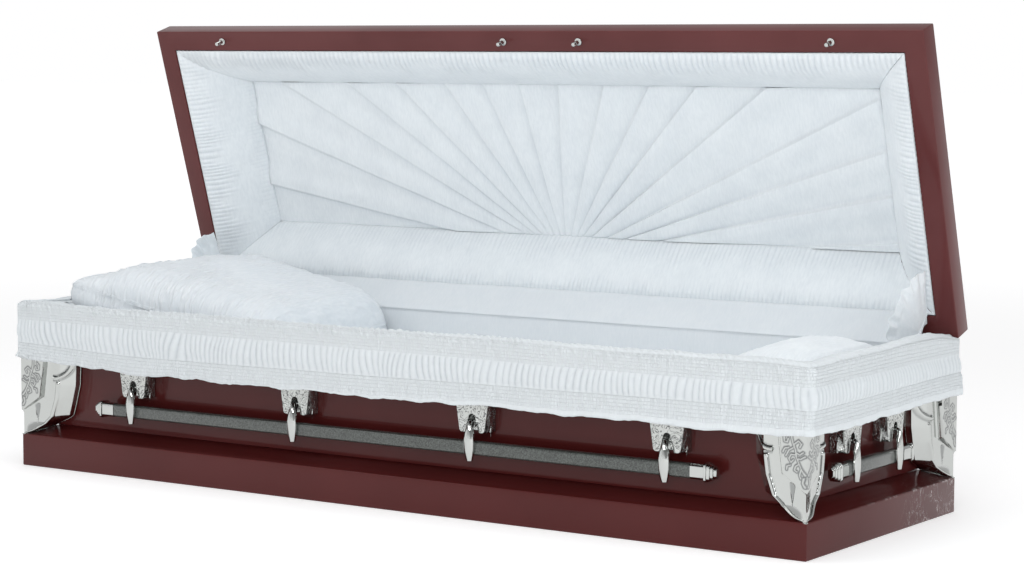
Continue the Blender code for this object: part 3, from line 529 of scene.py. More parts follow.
def wander(x, seed):
    """Smooth random values 0 to 1 along a line, one new value for each whole step."""
    whole = np.floor(x)
    part = x - whole
    part = part * part * (3.0 - 2.0 * part)
    low = np.modf(np.abs(np.sin((whole + seed * 17.0) * 127.1)) * 43758.5453)[0]
    high = np.modf(np.abs(np.sin((whole + 1.0 + seed * 17.0) * 127.1)) * 43758.5453)[0]
    return low + (high - low) * part


def drift(x, y, seed):
    """Smooth random values 0 to 1 over a plane."""
    whole = np.floor(y)
    part = y - whole
    part = part * part * (3.0 - 2.0 * part)
    return wander(x, seed + whole * 3.7) * (1.0 - part) + wander(x, seed + (whole + 1.0) * 3.7) * part


def thicken(obj, thickness):
    show_only(obj)
    bpy.ops.object.modifier_add(type="SOLIDIFY")
    obj.modifiers[-1].thickness = thickness
    obj.modifiers[-1].offset = -1.0
    bpy.ops.object.modifier_apply(modifier=obj.modifiers[-1].name)


def close_and_smooth(obj, merge=0.0):
    show_only(obj)
    if merge:
        bpy.ops.object.mode_set(mode="EDIT")
        bpy.ops.mesh.select_all(action="SELECT")
        bpy.ops.mesh.remove_doubles(threshold=merge)
        bpy.ops.mesh.normals_make_consistent(inside=False)
        bpy.ops.object.mode_set(mode="OBJECT")
    bpy.ops.object.shade_smooth()


for leaf in ("bed_frame",):
    nodes[leaf].data.materials.clear()
    nodes[leaf].data.materials.append(steel())
lining_low, lining_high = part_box("wall_lining")


def lining_form(u, v):
    """The lining's loop, u round the box and v round its board."""
    half_x, half_y = lining_high.x - 0.0085, lining_high.y - 0.0085
    bulge = 0.0045
    around = v * 2.0 * math.pi
    height = (lining_high.z - lining_low.z) / 2.0
    middle = (lining_high.z + lining_low.z) / 2.0
    z = middle - height * np.cos(around)
    out = 0.0040 * np.sin(around)
    wave = drift(u * 60.0, z * 14.0, 3) - 0.5
    out = np.where(out < 0, out - bulge * np.sin(np.pi * (z - lining_low.z) / (2 * height)) * (0.6 + wave), out)
    out = out + 0.0042
    corner = (u * 4.0) % 1.0
    edge = np.floor(u * 4.0 + 1e-9) % 4
    reach_x, reach_y = half_x + out, half_y + out
    x = np.select([edge == 0, edge == 1, edge == 2], [reach_x * (2 * corner - 1), reach_x, reach_x * (1 - 2 * corner)], -reach_x)
    y = np.select([edge == 0, edge == 1, edge == 2], [-reach_y, reach_y * (2 * corner - 1), reach_y], reach_y * (1 - 2 * corner))
    return np.stack([x, y, z], axis=1)


lining = grid_piece("panel_lining", 720, 20, lining_form)
close_and_smooth(lining, 0.0002)
lining.data.materials.append(crepe("crepe_lining", 0.3, colour=LINING_CREPE))
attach(lining, "shell")
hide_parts("wall_lining")


# Mattress, pillow and foot cushion. Loose fillings in white crepe, sewn round a seam at
# half height: the pillow fills the head end, and the small cushion lies at the foot.


def stuffed(name, node, top_of, seam_of, squareness, roundness, wrinkle, flap=None):
    """A stuffed cover: its upper and lower cloths meet in a seam round the outline."""
    low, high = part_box(node)
    centre, half = (low + high) / 2.0, (high - low) / 2.0
    bpy.ops.object.select_all(action="DESELECT")
    bpy.ops.mesh.primitive_cube_add(size=1.0)
    obj = bpy.context.object
    obj.name = name
    bpy.ops.object.mode_set(mode="EDIT")
    bpy.ops.mesh.subdivide(number_cuts=127)
    bpy.ops.object.mode_set(mode="OBJECT")
    co = points(obj) * 2.0
    co[:, :2] = np.sin(co[:, :2] * math.pi / 2.0)
    flat = np.maximum(np.abs(co[:, 0]), np.abs(co[:, 1]))
    length = (np.abs(co[:, 0]) ** squareness + np.abs(co[:, 1]) ** squareness) ** (1.0 / squareness)
    shrink = np.where(length > 1e-6, flat / np.maximum(length, 1e-6), 1.0)
    a, b = co[:, 0] * shrink, co[:, 1] * shrink
    x = centre.x + half.x * 0.985 * a
    y = centre.y + half.y * 0.985 * b
    out = np.clip(np.maximum(np.abs(a), np.abs(b)) / np.maximum(flat, 1e-6) * flat, 0.0, 1.0)
    radius = np.clip(flat, 0.0, 1.0)
    dome = np.clip(1.0 - np.abs(co[:, 1]) ** roundness, 0.0, 1.0) ** 0.5
    dome = dome * np.clip(1.0 - np.abs(co[:, 0]) ** 22.0, 0.0, 1.0) ** 0.5
    seam = seam_of(x, y)
    crown = top_of(x, y)
    side = co[:, 2]
    upper = seam + (crown - seam) * dome
    lower = seam - (seam - low.z - 0.0012) * np.clip(1.0 - radius ** 40.0, 0.0, 1.0) ** 0.5
    edge = np.abs(side) < 0.999
    z = np.where(side > 0, upper, lower)
    bulge = np.clip(1.0 - side ** 2, 0.0, 1.0) ** 0.5
    piping = np.exp(-((side / 0.10) ** 2)) * 0.0012
    z = np.where(edge, seam + side * 0.0035, z)
    x = np.where(edge, centre.x + half.x * 0.985 * a * (1.0 + (piping + 0.0012 * bulge) / half.x), x)
    y = np.where(edge, centre.y + half.y * 0.985 * b * (1.0 + (piping + 0.0012 * bulge) / half.y), y)
    set_points(obj, np.stack([x, y, z], axis=1))
    show_only(obj)
    bpy.ops.object.modifier_add(type="SMOOTH")
    obj.modifiers[-1].factor = 0.5
    obj.modifiers[-1].iterations = 3
    bpy.ops.object.modifier_apply(modifier=obj.modifiers[-1].name)
    co = points(obj)
    way = normals(obj)
    up = soft_step(0.60, 0.97, way[:, 2])
    co = co + way * (wrinkle(co[:, 0], co[:, 1]) * up)[:, None]
    below = np.clip((seam_of(co[:, 0], co[:, 1]) - co[:, 2]) / 0.06, 0.0, 1.0)
    co[:, 1] *= 1.0 + 0.055 * np.sin(np.pi * below)
    set_points(obj, flap(co) if flap else co)
    bpy.ops.object.shade_smooth()
    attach(obj, "shell")
    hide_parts(node)
    return obj


PILLOW_TOP = [(-0.99, 0.446), (-0.94, 0.468), (-0.86, 0.486), (-0.76, 0.488), (-0.66, 0.472), (-0.56, 0.454),
              (-0.47, 0.434), (-0.42, 0.416), (-0.395, 0.400), (-0.38, 0.384)]
PILLOW_SEAM = [(-0.99, 0.430), (-0.90, 0.418), (-0.80, 0.403), (-0.70, 0.386), (-0.60, 0.368), (-0.38, 0.335)]
CUSHION_TOP = [(0.70, 0.312), (0.74, 0.344), (0.78, 0.376), (0.84, 0.397), (0.90, 0.402), (0.98, 0.384)]


def pillow_wrinkle(x, y):
    """Broad dents, pulls towards the corners and many short slanting creases."""
    broad = 0.0070 * (drift(x * 7.0 + 3.0, y * 6.0, 1) - 0.5)
    slant, across = x * 0.80 + y * 0.60, x * 0.60 - y * 0.80
    where = soft_step(0.35, 0.75, drift(x * 9.0, y * 9.0, 3))
    near = drift(slant * 120.0, across * 22.0, 2) ** 2 * 0.0058 * where
    other = drift((x * 0.96 - y * 0.28) * 110.0, (x * 0.28 + y * 0.96) * 22.0, 5) ** 2 * 0.0040
    return broad + near + other * soft_step(0.4, 0.8, drift(x * 8.0 + 4.0, y * 8.0, 6)) - 0.001


def pillow_flap(co):
    """The pillow's front corner at the head lifts over the rail in a soft round lobe."""
    off = np.hypot(co[:, 0] + 0.985, co[:, 1] + 0.255)
    pull = np.exp(-((off / 0.075) ** 4)) * soft_step(0.300, 0.410, co[:, 2])
    return co + pull[:, None] * np.array((-0.036, -0.008, 0.010))


def cushion_wrinkle(x, y):
    broad = 0.0050 * (drift(x * 12.0 + 3.0, y * 9.0, 61) - 0.5)
    return broad + drift((x + y) * 90.0, (x - y) * 24.0, 62) ** 2 * 0.0022


pillow = stuffed("head_pillow", "pillow", lambda x, y: between(PILLOW_TOP, x) + 0.004 * np.sin(y * 9.0),
                 lambda x, y: between(PILLOW_SEAM, x), 8.0, 6.0, pillow_wrinkle, pillow_flap)
# Painted highlight: creased makes the pillow's cloth lighter along its creases.
pillow.data.materials.append(crepe("crepe_pillow", 1.6, turn=(0.0, 0.0, 0.9), colour=PILLOW_CREPE, creased=6.0))
cushion = stuffed("foot_pillow", "foot_cushion", lambda x, y: between(CUSHION_TOP, x),
                  lambda x, y: between([(0.70, 0.305), (0.98, 0.335)], x), 5.0, 3.5, cushion_wrinkle)
cushion.data.materials.append(crepe("crepe_cushion", 0.9, turn=(0.0, 0.0, 0.5)))
bed_low, bed_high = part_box("mattress")


def mattress_form(u, v):
    """The mattress round a closed loop, u along the casket and v round its section."""
    around = v * 2.0 * math.pi
    ends = np.clip(np.minimum(u, 1.0 - u) * 30.0, 0.0, 1.0) ** 0.5
    half_y = (bed_high.y - bed_low.y) / 2.0
    half_z = (bed_high.z - bed_low.z) / 2.0
    c, s = np.cos(around), np.sin(around)
    y = half_y * np.sign(c) * np.abs(c) ** 0.30 * (1.010 + 0.015 * ends)
    z = half_z * np.sign(s) * np.abs(s) ** 0.42 * ends
    x = bed_low.x + (bed_high.x - bed_low.x) * u
    quilt = np.abs(np.sin(x * math.pi / 0.24)) ** 0.35 * np.abs(np.sin(y * math.pi / 0.18)) ** 0.35
    z = z - 0.004 * (1.0 - quilt) * (s > 0.5) * ends
    return np.stack([x, y, (bed_low.z + bed_high.z) / 2.0 + z], axis=1)


bed = grid_piece("bed_mattress", 300, 96, mattress_form)
close_and_smooth(bed, 0.0003)
bed.data.materials.append(crepe("crepe_mattress", 0.8))
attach(bed, "shell")
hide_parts("mattress")


# Skirt over the rail. One long band of white crepe, shirred on elastic thread in rows
# above and below a band of upright pleats, turned over the rail and left to hang.

SKIRT_HEM = 0.2495
SKIRT_BAND = (0.2995, 0.3495)
SKIRT_LOOP = [
    (0.0120, 0.2495), (0.0170, 0.2500), (0.0172, 0.2600), (0.0150, 0.2750), (0.0155, 0.2900), (0.0160, 0.3010),
    (0.0190, 0.3120), (0.0200, 0.3240), (0.0190, 0.3370), (0.0165, 0.3480), (0.0165, 0.3590), (0.0168, 0.3710),
    (0.0168, 0.3830), (0.0145, 0.3915), (0.0080, 0.3960), (-0.0040, 0.3960), (-0.0160, 0.3925), (-0.0330, 0.3880),
    (-0.0540, 0.3835), (-0.0672, 0.3790), (-0.0660, 0.3768), (-0.0200, 0.3770), (0.0035, 0.3770), (0.0045, 0.3600),
    (0.0045, 0.3000), (0.0050, 0.2560),
]
SKIRT_ENDS = 0.345
SKIRT_ROUND = -0.004


def loop_at(share):
    """(outset, height) round the skirt's section, smooth through its listed points."""
    count = len(SKIRT_LOOP)
    ring = np.array(SKIRT_LOOP)
    at = share * count
    i = np.floor(at).astype(int)
    t = (at - i)[:, None]
    p0, p1, p2, p3 = (ring[(i + k) % count] for k in (-1, 0, 1, 2))
    return 0.5 * (2 * p1 + (p2 - p0) * t + (2 * p0 - 5 * p1 + 4 * p2 - p3) * t ** 2 + (3 * p1 - p0 - 3 * p2 + p3) * t ** 3)


# Painted shade: the skirt's white crepe is mixed darker than the lid's, for the stronger light on the skirt's front.
SKIRT_CREPE_DIMMED = (0.68, 0.72, 0.74)
# Painted shade: the darker colour the skirt's cloth turns to between shirred rows and in pleat valleys.
SKIRT_SHADE = (0.42, 0.455, 0.485)
SKIRT_COLUMNS = (330, 8, 1500, 8, 330)
SKIRT_STOPS = np.cumsum((0,) + SKIRT_COLUMNS) / sum(SKIRT_COLUMNS)


def skirt_path(u, out):
    """A point on the rail's outline moved out, its outward way, and its run in metres."""
    bend = np.maximum(SKIRT_ROUND + out, 0.002)
    x1 = HALF_LENGTH + out - bend
    y1 = -(HALF_WIDTH + out - bend)
    part = [np.clip((u - a) / (b - a), 0.0, 1.0) for a, b in zip(SKIRT_STOPS, SKIRT_STOPS[1:])]
    leg = np.clip(np.searchsorted(SKIRT_STOPS, u, side="right") - 1, 0, 4)
    a1 = part[1] * math.pi / 2.0
    a3 = part[3] * math.pi / 2.0
    x = np.select(
        [leg == 0, leg == 1, leg == 2, leg == 3],
        [-(x1 + bend), -x1 - bend * np.cos(a1), -x1 + 2 * x1 * part[2], x1 + bend * np.sin(a3)],
        x1 + bend,
    )
    y = np.select(
        [leg == 0, leg == 1, leg == 2, leg == 3],
        [SKIRT_ENDS + (y1 - SKIRT_ENDS) * part[0], y1 - bend * np.sin(a1), y1 - bend, y1 - bend * np.cos(a3)],
        y1 + (SKIRT_ENDS - y1) * part[4],
    )
    nx = np.select([leg == 0, leg == 1, leg == 2, leg == 3], [-1.0, -np.cos(a1), 0.0, np.sin(a3)], 1.0)
    ny = np.select([leg == 0, leg == 1, leg == 2, leg == 3], [0.0, -np.sin(a1), -1.0, -np.cos(a3)], 0.0)
    run = np.select(
        [leg == 0, leg == 1, leg == 2, leg == 3],
        [part[0] * 0.70, 0.70 + part[1] * 0.02, 0.72 + part[2] * 2.13, 2.85 + part[3] * 0.02],
        2.87 + part[4] * 0.70,
    )
    return x, y, nx, ny, run


def skirt_form(u, v):
    share = np.where(v < 0.90, v / 0.90 * (20.0 / 26.0), 20.0 / 26.0 + (v - 0.90) / 0.10 * (6.0 / 26.0))
    section = loop_at(np.clip(share, 0.0, 0.999999))
    section = np.where((v > 0.999999)[:, None], np.array(SKIRT_LOOP)[0][None, :], section)
    out, z = section[:, 0], section[:, 1]
    x, y, nx, ny, run = skirt_path(u, out)
    face = soft_step(0.0, 0.03, share) * (1.0 - soft_step(12.0 / 26.0, 13.5 / 26.0, share))
    drooped = 1.0 - soft_step(0.9, 2.9, run)
    low = SKIRT_BAND[0] + 0.003 - 0.013 * drooped
    high = SKIRT_BAND[1] + 0.007 * drooped
    band = soft_step(low - 0.001, low + 0.006, z) * (1.0 - soft_step(high - 0.006, high + 0.001, z))
    lean = (z - (low + high) / 2.0) * (wander(run * 14.0, 4) - 0.5) * 34.0
    pleat = run / 0.0158 + 1.5 * wander(run * 15.0, 9) + lean
    number = np.floor(pleat)
    part = pleat - number
    ridge = np.minimum(part / 0.62, (1.0 - part) / 0.38)
    ridge = np.sin(np.pi / 2.0 * np.clip(ridge, 0.0, 1.0)) ** 0.55
    tall = 0.0026 + 0.0026 * wander(number + 0.5, 11)
    split_fold = np.exp(-(((part - 0.35 - 0.3 * wander(number + 0.5, 12)) / 0.07) ** 2))
    fold = band * (ridge * tall - 0.0009 * split_fold * (wander(number + 0.5, 14) > 0.4))
    fringe = (1.0 - band) * 0.0007 * np.sin(np.pi * (run / 0.0079 + wander(run * 40.0, 13))) ** 2
    amount = (fold + fringe) * face
    over = soft_step(11.2 / 26.0, 13.0 / 26.0, share) * (1.0 - soft_step(17.0 / 26.0, 19.5 / 26.0, share))
    rope = run / 0.0165 + 1.4 * wander(run * 16.0, 21) + (share * 26.0 - 13.0) * 0.42
    lump = np.sin(np.pi * (rope - np.floor(rope))) ** 0.7
    size = 0.35 + 0.9 * wander(np.floor(rope) + 0.5, 23)
    rise = over * (0.0056 * lump * size + 0.0014 * drift(run * 160.0, share * 60.0, 25) - 0.0010)
    sag = 0.0036 * (drift(run * 8.0, z * 6.0, 31) - 0.5) * 2.0 * face
    far_left = 1.0 - soft_step(0.55, 1.15, run)
    hem = 1.0 - soft_step(SKIRT_HEM, SKIRT_HEM + 0.03, z)
    scallop = 0.0052 * (wander(run * 24.0, 41) - 0.5) + 0.0040 * (wander(run * 8.0, 43) - 0.5) + 0.0016 * (wander(run * 90.0, 45) - 0.5)
    foot = soft_step(2.92, 3.55, run)
    lift = (0.018 * far_left + 0.014 * foot) * (1.0 - soft_step(0.25, 0.37, z)) + hem * scallop
    flare = hem * 0.0030 * (wander(run * 60.0, 49) - 0.3)
    crest = soft_step(0.36, 0.395, z) * (0.004 * soft_step(2.9, 3.3, run) - 0.012 * soft_step(3.45, 3.58, run))
    crest = crest + soft_step(0.372, 0.394, z) * 0.0050 * (wander(run * 9.0, 47) - 0.6)
    top_out = soft_step(11.5 / 26.0, 14.5 / 26.0, share)
    z2 = np.where(share > 19.5 / 26.0, z + lift * (z < 0.35), z + lift + crest + rise * top_out)
    pulled = 0.017 * soft_step(0.27, 0.39, z) * soft_step(3.0, 3.45, run) * (share < 0.77)
    pulled = pulled + 0.006 * soft_step(3.2, 3.5, run) * soft_step(0.29, 0.31, z) * (share < 0.6)
    pulled = pulled * (1.0 - soft_step(14.0 / 26.0, 17.5 / 26.0, share))
    push = amount + rise * (1.0 - top_out) + sag + flare - pulled
    tucked = (share < 0.62) * soft_step(-0.80, -1.06, x)
    tuck_x = 0.012 * tucked * soft_step(-1.00, -1.07, x)
    tuck_y = 0.009 * tucked * soft_step(-0.30, -0.36, y)
    least = 0.0068 - out + tuck_x * np.maximum(-nx, 0.0) + tuck_y * np.maximum(-ny, 0.0)
    push = np.where(share < 0.5, np.maximum(push, least), push)
    x, y = x + tuck_x, y + tuck_y
    # Painted shade: the valleys between pleats are marked for the cloth to darken.
    skirt_form.valley = band * face * (1.0 - ridge) * (0.6 + 0.4 * wander(number + 0.5, 15))
    skirt_form.along = run
    inside = SKIRT_BAND[0] + (z - low) * (SKIRT_BAND[1] - SKIRT_BAND[0]) / (high - low)
    read = np.where(z < low, z + SKIRT_BAND[0] - low, np.where(z < high, inside, z + SKIRT_BAND[1] - high))
    skirt_form.height = np.where(share < 14.0 / 26.0, read, 0.41)
    return np.stack([x + nx * push, y + ny * push, z2], axis=1)


def shirred_crepe(name):
    """Crepe drawn up on rows of elastic thread, above and below a band of pleats, with painted shade between the
    rows and in the pleats' valleys.
    """
    cloth = Finish(name, SKIRT_CREPE_DIMMED, 0.86, Sheen_Weight=0.15, Sheen_Roughness=0.5)
    along = cloth.add("ShaderNodeAttribute", {"attribute_name": "along"}, output="Fac")
    height = cloth.add("ShaderNodeAttribute", {"attribute_name": "height"}, output="Fac")
    low, high = SKIRT_BAND
    upper = height.ramp(high - 0.0005, high + 0.0005) * (1 - height.ramp(0.388, 0.392))
    lower = (1 - height.ramp(low - 0.0005, low + 0.0005)) * height.ramp(0.2600, 0.2615)
    row = upper * ((height - high) * (1 / 0.0072)) + lower * ((height - 0.2610) * (1 / 0.0076))
    inside = (row.math("FRACT") - 0.5).math("ABSOLUTE") * 2
    roll = 1 - 0.8 * inside.math("POWER", 7.0)
    whole = row.math("FLOOR")
    jog = cloth.add("ShaderNodeTexNoise", {"noise_dimensions": "2D"}, {
        "Vector": cloth.add("ShaderNodeCombineXYZ", inputs=(along * 60, whole * 0.30, 0.0)), "Scale": 1.0, "Detail": 2.0})
    tick = (along * (1 / 0.0058) + jog * 2.6).math("FRACT")
    pucker = 1 - ((tick - 0.5).math("ABSOLUTE") * 2).math("POWER", 2.2)
    shirred = (upper + lower).math("MINIMUM", 1.0)
    relief = shirred * roll * (0.25 + 0.75 * pucker)
    valley = cloth.add("ShaderNodeAttribute", {"attribute_name": "valley"}, output="Fac")
    at = cloth.place()
    weave = cloth.noise(700.0, 2.0, at)
    crinkle = cloth.noise(190.0, 3.0, cloth.place((1.0, 1.0, 0.30)))
    calm = (1 - shirred) * crinkle * 0.35
    # Painted shade: darker between the shirred rows and at the sides of each pucker, and in the pleat valleys.
    shade = (shirred * (1 - roll * (0.40 + 0.60 * pucker)) * 0.20 + 0.8 * valley).math("MINIMUM", 1.0)
    cloth.set("Base Color", cloth.mix(0.92 * shade + 0.08 * crinkle, SKIRT_CREPE_DIMMED, SKIRT_SHADE))
    cloth.set("Roughness", 0.82 + 0.1 * weave)
    cloth.bump(relief + calm + 0.06 * weave, 0.85, 0.0018)
    return cloth.material


skirt = grid_piece("rail_skirt", sum(SKIRT_COLUMNS), 45, skirt_form)
write_mark(skirt, "along", skirt_form.along)
write_mark(skirt, "height", skirt_form.height)
write_mark(skirt, "valley", skirt_form.valley)
show_only(skirt)
bpy.ops.object.mode_set(mode="EDIT")
bpy.ops.mesh.select_all(action="SELECT")
bpy.ops.mesh.remove_doubles(threshold=0.00005)
bpy.ops.mesh.select_all(action="DESELECT")
bpy.ops.mesh.select_non_manifold()
bpy.ops.mesh.fill()
bpy.ops.mesh.select_all(action="SELECT")
bpy.ops.mesh.normals_make_consistent(inside=False)
bpy.ops.object.mode_set(mode="OBJECT")
bpy.ops.object.shade_smooth()
skirt.data.materials.append(shirred_crepe("crepe_skirt"))
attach(skirt, "shell")
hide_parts("overlay")


# Lid. A pressed steel dish in the same maroon, with a flat rim, a plain upright band and
# a crown behind, held open on a long hinge. Four plated studs stand on its front rim.

OPEN = math.radians(72.65)
HINGE = Vector((0.0, 0.3548, 0.377))
LID_PLANE = 0.378


def lid_edge(middle, a, b):
    """The lid's outer folds: found in its closed place, by their distance from its walls."""
    flat = Matrix.Rotation(OPEN, 4, "X") @ (middle - HINGE) + HINGE
    on_end = abs(flat.x) > HALF_LENGTH - 0.0005
    on_side = abs(flat.y) > HALF_WIDTH - 0.0005
    above = flat.z > 0.378 + 0.080
    return on_end or on_side or above


# Painted light: the lid's maroon is lighter than the body's, standing in for its brighter reflection.
lid = pressed_copy("lid_shell", maroon_paint("maroon_lid", shade=MAROON_LID_LIT), FOLD_RADIUS, lid_edge)
stud_chrome = chrome("chrome_studs", roughness=0.05)
for number in range(1, 5):
    pressed_copy(f"latch_stud_{number}", stud_chrome, 0.0006, every_edge, 2, 40.0)
leaf_paint = maroon_paint("maroon_hinge")
for name in ("hinge_leaf_body", "hinge_leaf_lid"):
    nodes[name].data.materials.clear()
    nodes[name].data.materials.append(leaf_paint)


# Lid lining. Four stuffed rolls of crepe with mitred corners frame a flat panel, whose
# cloth is tucked in rays that start from behind the middle of the lower roll.

RIM_INNER = 0.0508
PANEL_DEPTH = 0.119
PANEL_HALF = 0.885
PANEL_NEAR = 0.150
PANEL_FAR = 0.530
LID_WIDTH = 0.700


def lid_point(x, d, h):
    """Where a point of the lid is: d from its hinged edge, h into it from the rim."""
    y = HALF_WIDTH - d - HINGE.y
    z = LID_PLANE + h - HINGE.z
    c, s = math.cos(OPEN), math.sin(OPEN)
    return np.stack([x, HINGE.y + y * c + z * s, HINGE.z - y * s + z * c], axis=1)


def gathers(run, v, pitch, seed, outer, inner, slant):
    """Height of the short gathers that start from a roll's two sewn edges; the hollows between them are kept for
    painted shade.
    """
    total = np.zeros(run.shape)
    hollow = np.zeros(run.shape)
    for edge, tall, far in ((0, outer[0], outer[1]), (1, inner[0], inner[1])):
        across = v if edge == 0 else 1.0 - v
        phase = run / pitch + 1.3 * wander(run / (pitch * 4.0), seed + edge) + slant * across
        number = np.floor(phase)
        ridge = np.sin(np.pi * (phase - number)) ** 1.3
        reach = far * (0.45 + 0.9 * wander(number * 1.0 + 0.5, seed + 3 + edge))
        shown = (1.0 - soft_step(reach * 0.35, reach, across)) * soft_step(0.0, 0.03, across)
        total = total + tall * ridge * shown
        # Painted shade: the hollows between gathers are gathered up to darken the cloth.
        hollow = hollow + shown * (1.0 - ridge) ** 2 * min(1.0, tall / 0.004)
    gathers.hollow = hollow
    return total


def roll_form(side):
    """A roll from the rim's inner edge down to the panel, along one side of the lid."""
    bulge = {"hinge": 0.034, "front": 0.030, "head": 0.026, "foot": 0.026}[side]

    def form(u, v):
        t = v
        end = np.minimum(u, 1.0 - u) * (4.6 if side in ("front", "hinge") else 1.0)
        full = 0.026 + (bulge - 0.026) * soft_step(0.02, 0.30, end)
        h = 0.0030 + (PANEL_DEPTH + 0.0045 - 0.0030) * t - full * np.sin(np.pi * t) ** 0.85
        if side in ("head", "foot"):
            outer_x = HALF_LENGTH - RIM_INNER
            x = outer_x + (PANEL_HALF - outer_x) * t
            low = RIM_INNER + (PANEL_NEAR - RIM_INNER) * t
            high = LID_WIDTH - RIM_INNER + (PANEL_FAR - (LID_WIDTH - RIM_INNER)) * t
            d = low + (high - low) * u
            run = d * 1.0
            x = -x if side == "head" else x
            lump = gathers(run, v, 0.0108, 5 if side == "head" else 8, (0.0042, 0.62), (0.0018, 0.24), 0.0)
        else:
            start, end = (RIM_INNER, PANEL_NEAR) if side == "hinge" else (LID_WIDTH - RIM_INNER, PANEL_FAR)
            d = start + (end - start) * t
            half = HALF_LENGTH - RIM_INNER + (PANEL_HALF - (HALF_LENGTH - RIM_INNER)) * t
            x = half * (2.0 * u - 1.0)
            run = x + 2.0
            if side == "front":
                lump = gathers(run, v, 0.0142, 15, (0.0050, 0.66), (0.0018, 0.20), 1.4)
            else:
                lump = gathers(run, v, 0.0118, 25, (0.0036, 0.42), (0.0034, 0.45), -1.6)
        lump = (lump + 0.003 * (drift(run * 8.0, v * 3.0, 51) - 0.5)) * soft_step(0.0, 0.05, end)
        # Painted shade: the gathers' hollows are marked for the cloth to darken.
        form.valley = 0.55 * gathers.hollow * soft_step(0.0, 0.05, end)
        h = h - lump * np.sin(np.pi * np.clip(v, 0.02, 0.98)) ** 0.3
        return lid_point(x, d, np.maximum(h, 0.0015))

    return form


for side, columns in (("front", 900), ("hinge", 900), ("head", 300), ("foot", 300)):
    form = roll_form(side)
    roll = grid_piece(f"lid_roll_{side}", columns, 30, form)
    write_mark(roll, "valley", form.valley)
    middle = normals(roll).mean(axis=0)
    if middle[1] > 0:
        show_only(roll)
        bpy.ops.object.mode_set(mode="EDIT")
        bpy.ops.mesh.select_all(action="SELECT")
        bpy.ops.mesh.flip_normals()
        bpy.ops.object.mode_set(mode="OBJECT")
    thicken(roll, 0.002)
    close_and_smooth(roll)
    roll.data.materials.append(crepe(f"crepe_roll_{side}", 0.6))
    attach(roll, "lid")
    if side == "front":
        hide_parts("lid_puff")

RAY_CENTRE = (-0.010, 0.088)
RAY_ENDS = [(-0.885, 0.2513), (-0.885, 0.4155), (-0.785, 0.53), (-0.574, 0.53), (-0.422, 0.53), (-0.277, 0.53),
            (-0.165, 0.53), (-0.060, 0.53), (0.050, 0.53), (0.176, 0.53), (0.298, 0.53), (0.423, 0.53),
            (0.602, 0.53), (0.885, 0.510), (0.885, 0.3872), (0.885, 0.2816), (0.885, 0.170)]
RAY_ANGLES = [math.atan2(d - RAY_CENTRE[1], x - RAY_CENTRE[0]) for x, d in RAY_ENDS]
RAY_COLUMNS = 18


def panel_form(u, v):
    """The panel in rays: u turns from the head side over to the foot side, v runs out."""
    first = math.atan2(PANEL_NEAR - RAY_CENTRE[1], -PANEL_HALF - RAY_CENTRE[0])
    last = math.atan2(PANEL_NEAR - RAY_CENTRE[1], PANEL_HALF - RAY_CENTRE[0])
    stops = np.array([first, *RAY_ANGLES, last])
    at = u * (len(stops) - 1)
    i = np.clip(np.floor(at + 1e-6).astype(int), 0, len(stops) - 2)
    t = np.clip(at - i, 0.0, 1.0)
    angle = stops[i] + (stops[i + 1] - stops[i]) * t ** 1.5
    c, s = np.cos(angle), np.sin(angle)
    near = (PANEL_NEAR - RAY_CENTRE[1]) / np.maximum(s, 1e-6)
    side_x = np.where(c > 0, PANEL_HALF - RAY_CENTRE[0], PANEL_HALF + RAY_CENTRE[0])
    far = np.minimum((PANEL_FAR - RAY_CENTRE[1]) / np.maximum(s, 1e-6), side_x / np.maximum(np.abs(c), 1e-6))
    near = np.minimum(near, far - 0.0005)
    r = near - 0.005 + (far - near + 0.010) * v
    off = np.clip(stops[i] - angle, 0.0, None) * r
    grown = soft_step(0.02, 0.30, r)
    wide = 0.010 + 0.024 * grown
    tall = 0.0040 + 0.0046 * grown
    has_fold = (i > 0).astype(float)
    lip = soft_step(0.0, 0.0012, off)
    fold = tall * lip * (1.0 - soft_step(wide * 0.55, wide * 1.9, off)) * has_fold
    droop = 0.0015 * (drift(r * 9.0, angle * 5.0, 61) - 0.5)
    ahead = np.clip(angle - stops[np.minimum(i + 1, len(stops) - 1)], 0.0, None) * r
    # Painted shadow: a dark band just past each fold's sharp edge, marked for the cloth.
    panel_form.valley = 0.9 * np.exp(-ahead / 0.0060) * (i < len(stops) - 2) * grown
    h = PANEL_DEPTH + 0.0030 - fold - droop
    return lid_point(RAY_CENTRE[0] + r * c, RAY_CENTRE[1] + r * s, h)


panel = grid_piece("ray_panel", (len(RAY_ANGLES) + 1) * RAY_COLUMNS, 64, panel_form)
write_mark(panel, "valley", panel_form.valley)
if normals(panel).mean(axis=0)[1] > 0:
    show_only(panel)
    bpy.ops.object.mode_set(mode="EDIT")
    bpy.ops.mesh.select_all(action="SELECT")
    bpy.ops.mesh.flip_normals()
    bpy.ops.object.mode_set(mode="OBJECT")
thicken(panel, 0.0010)
close_and_smooth(panel)
panel.data.materials.append(crepe("crepe_panel", 0.15))
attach(panel, "lid")
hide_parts("sunburst_panel")


# Webs. A fan of crepe with a frilled edge closes the gap at each end of the hinge, sewn
# to the lid's lining above and to the panel lining below.


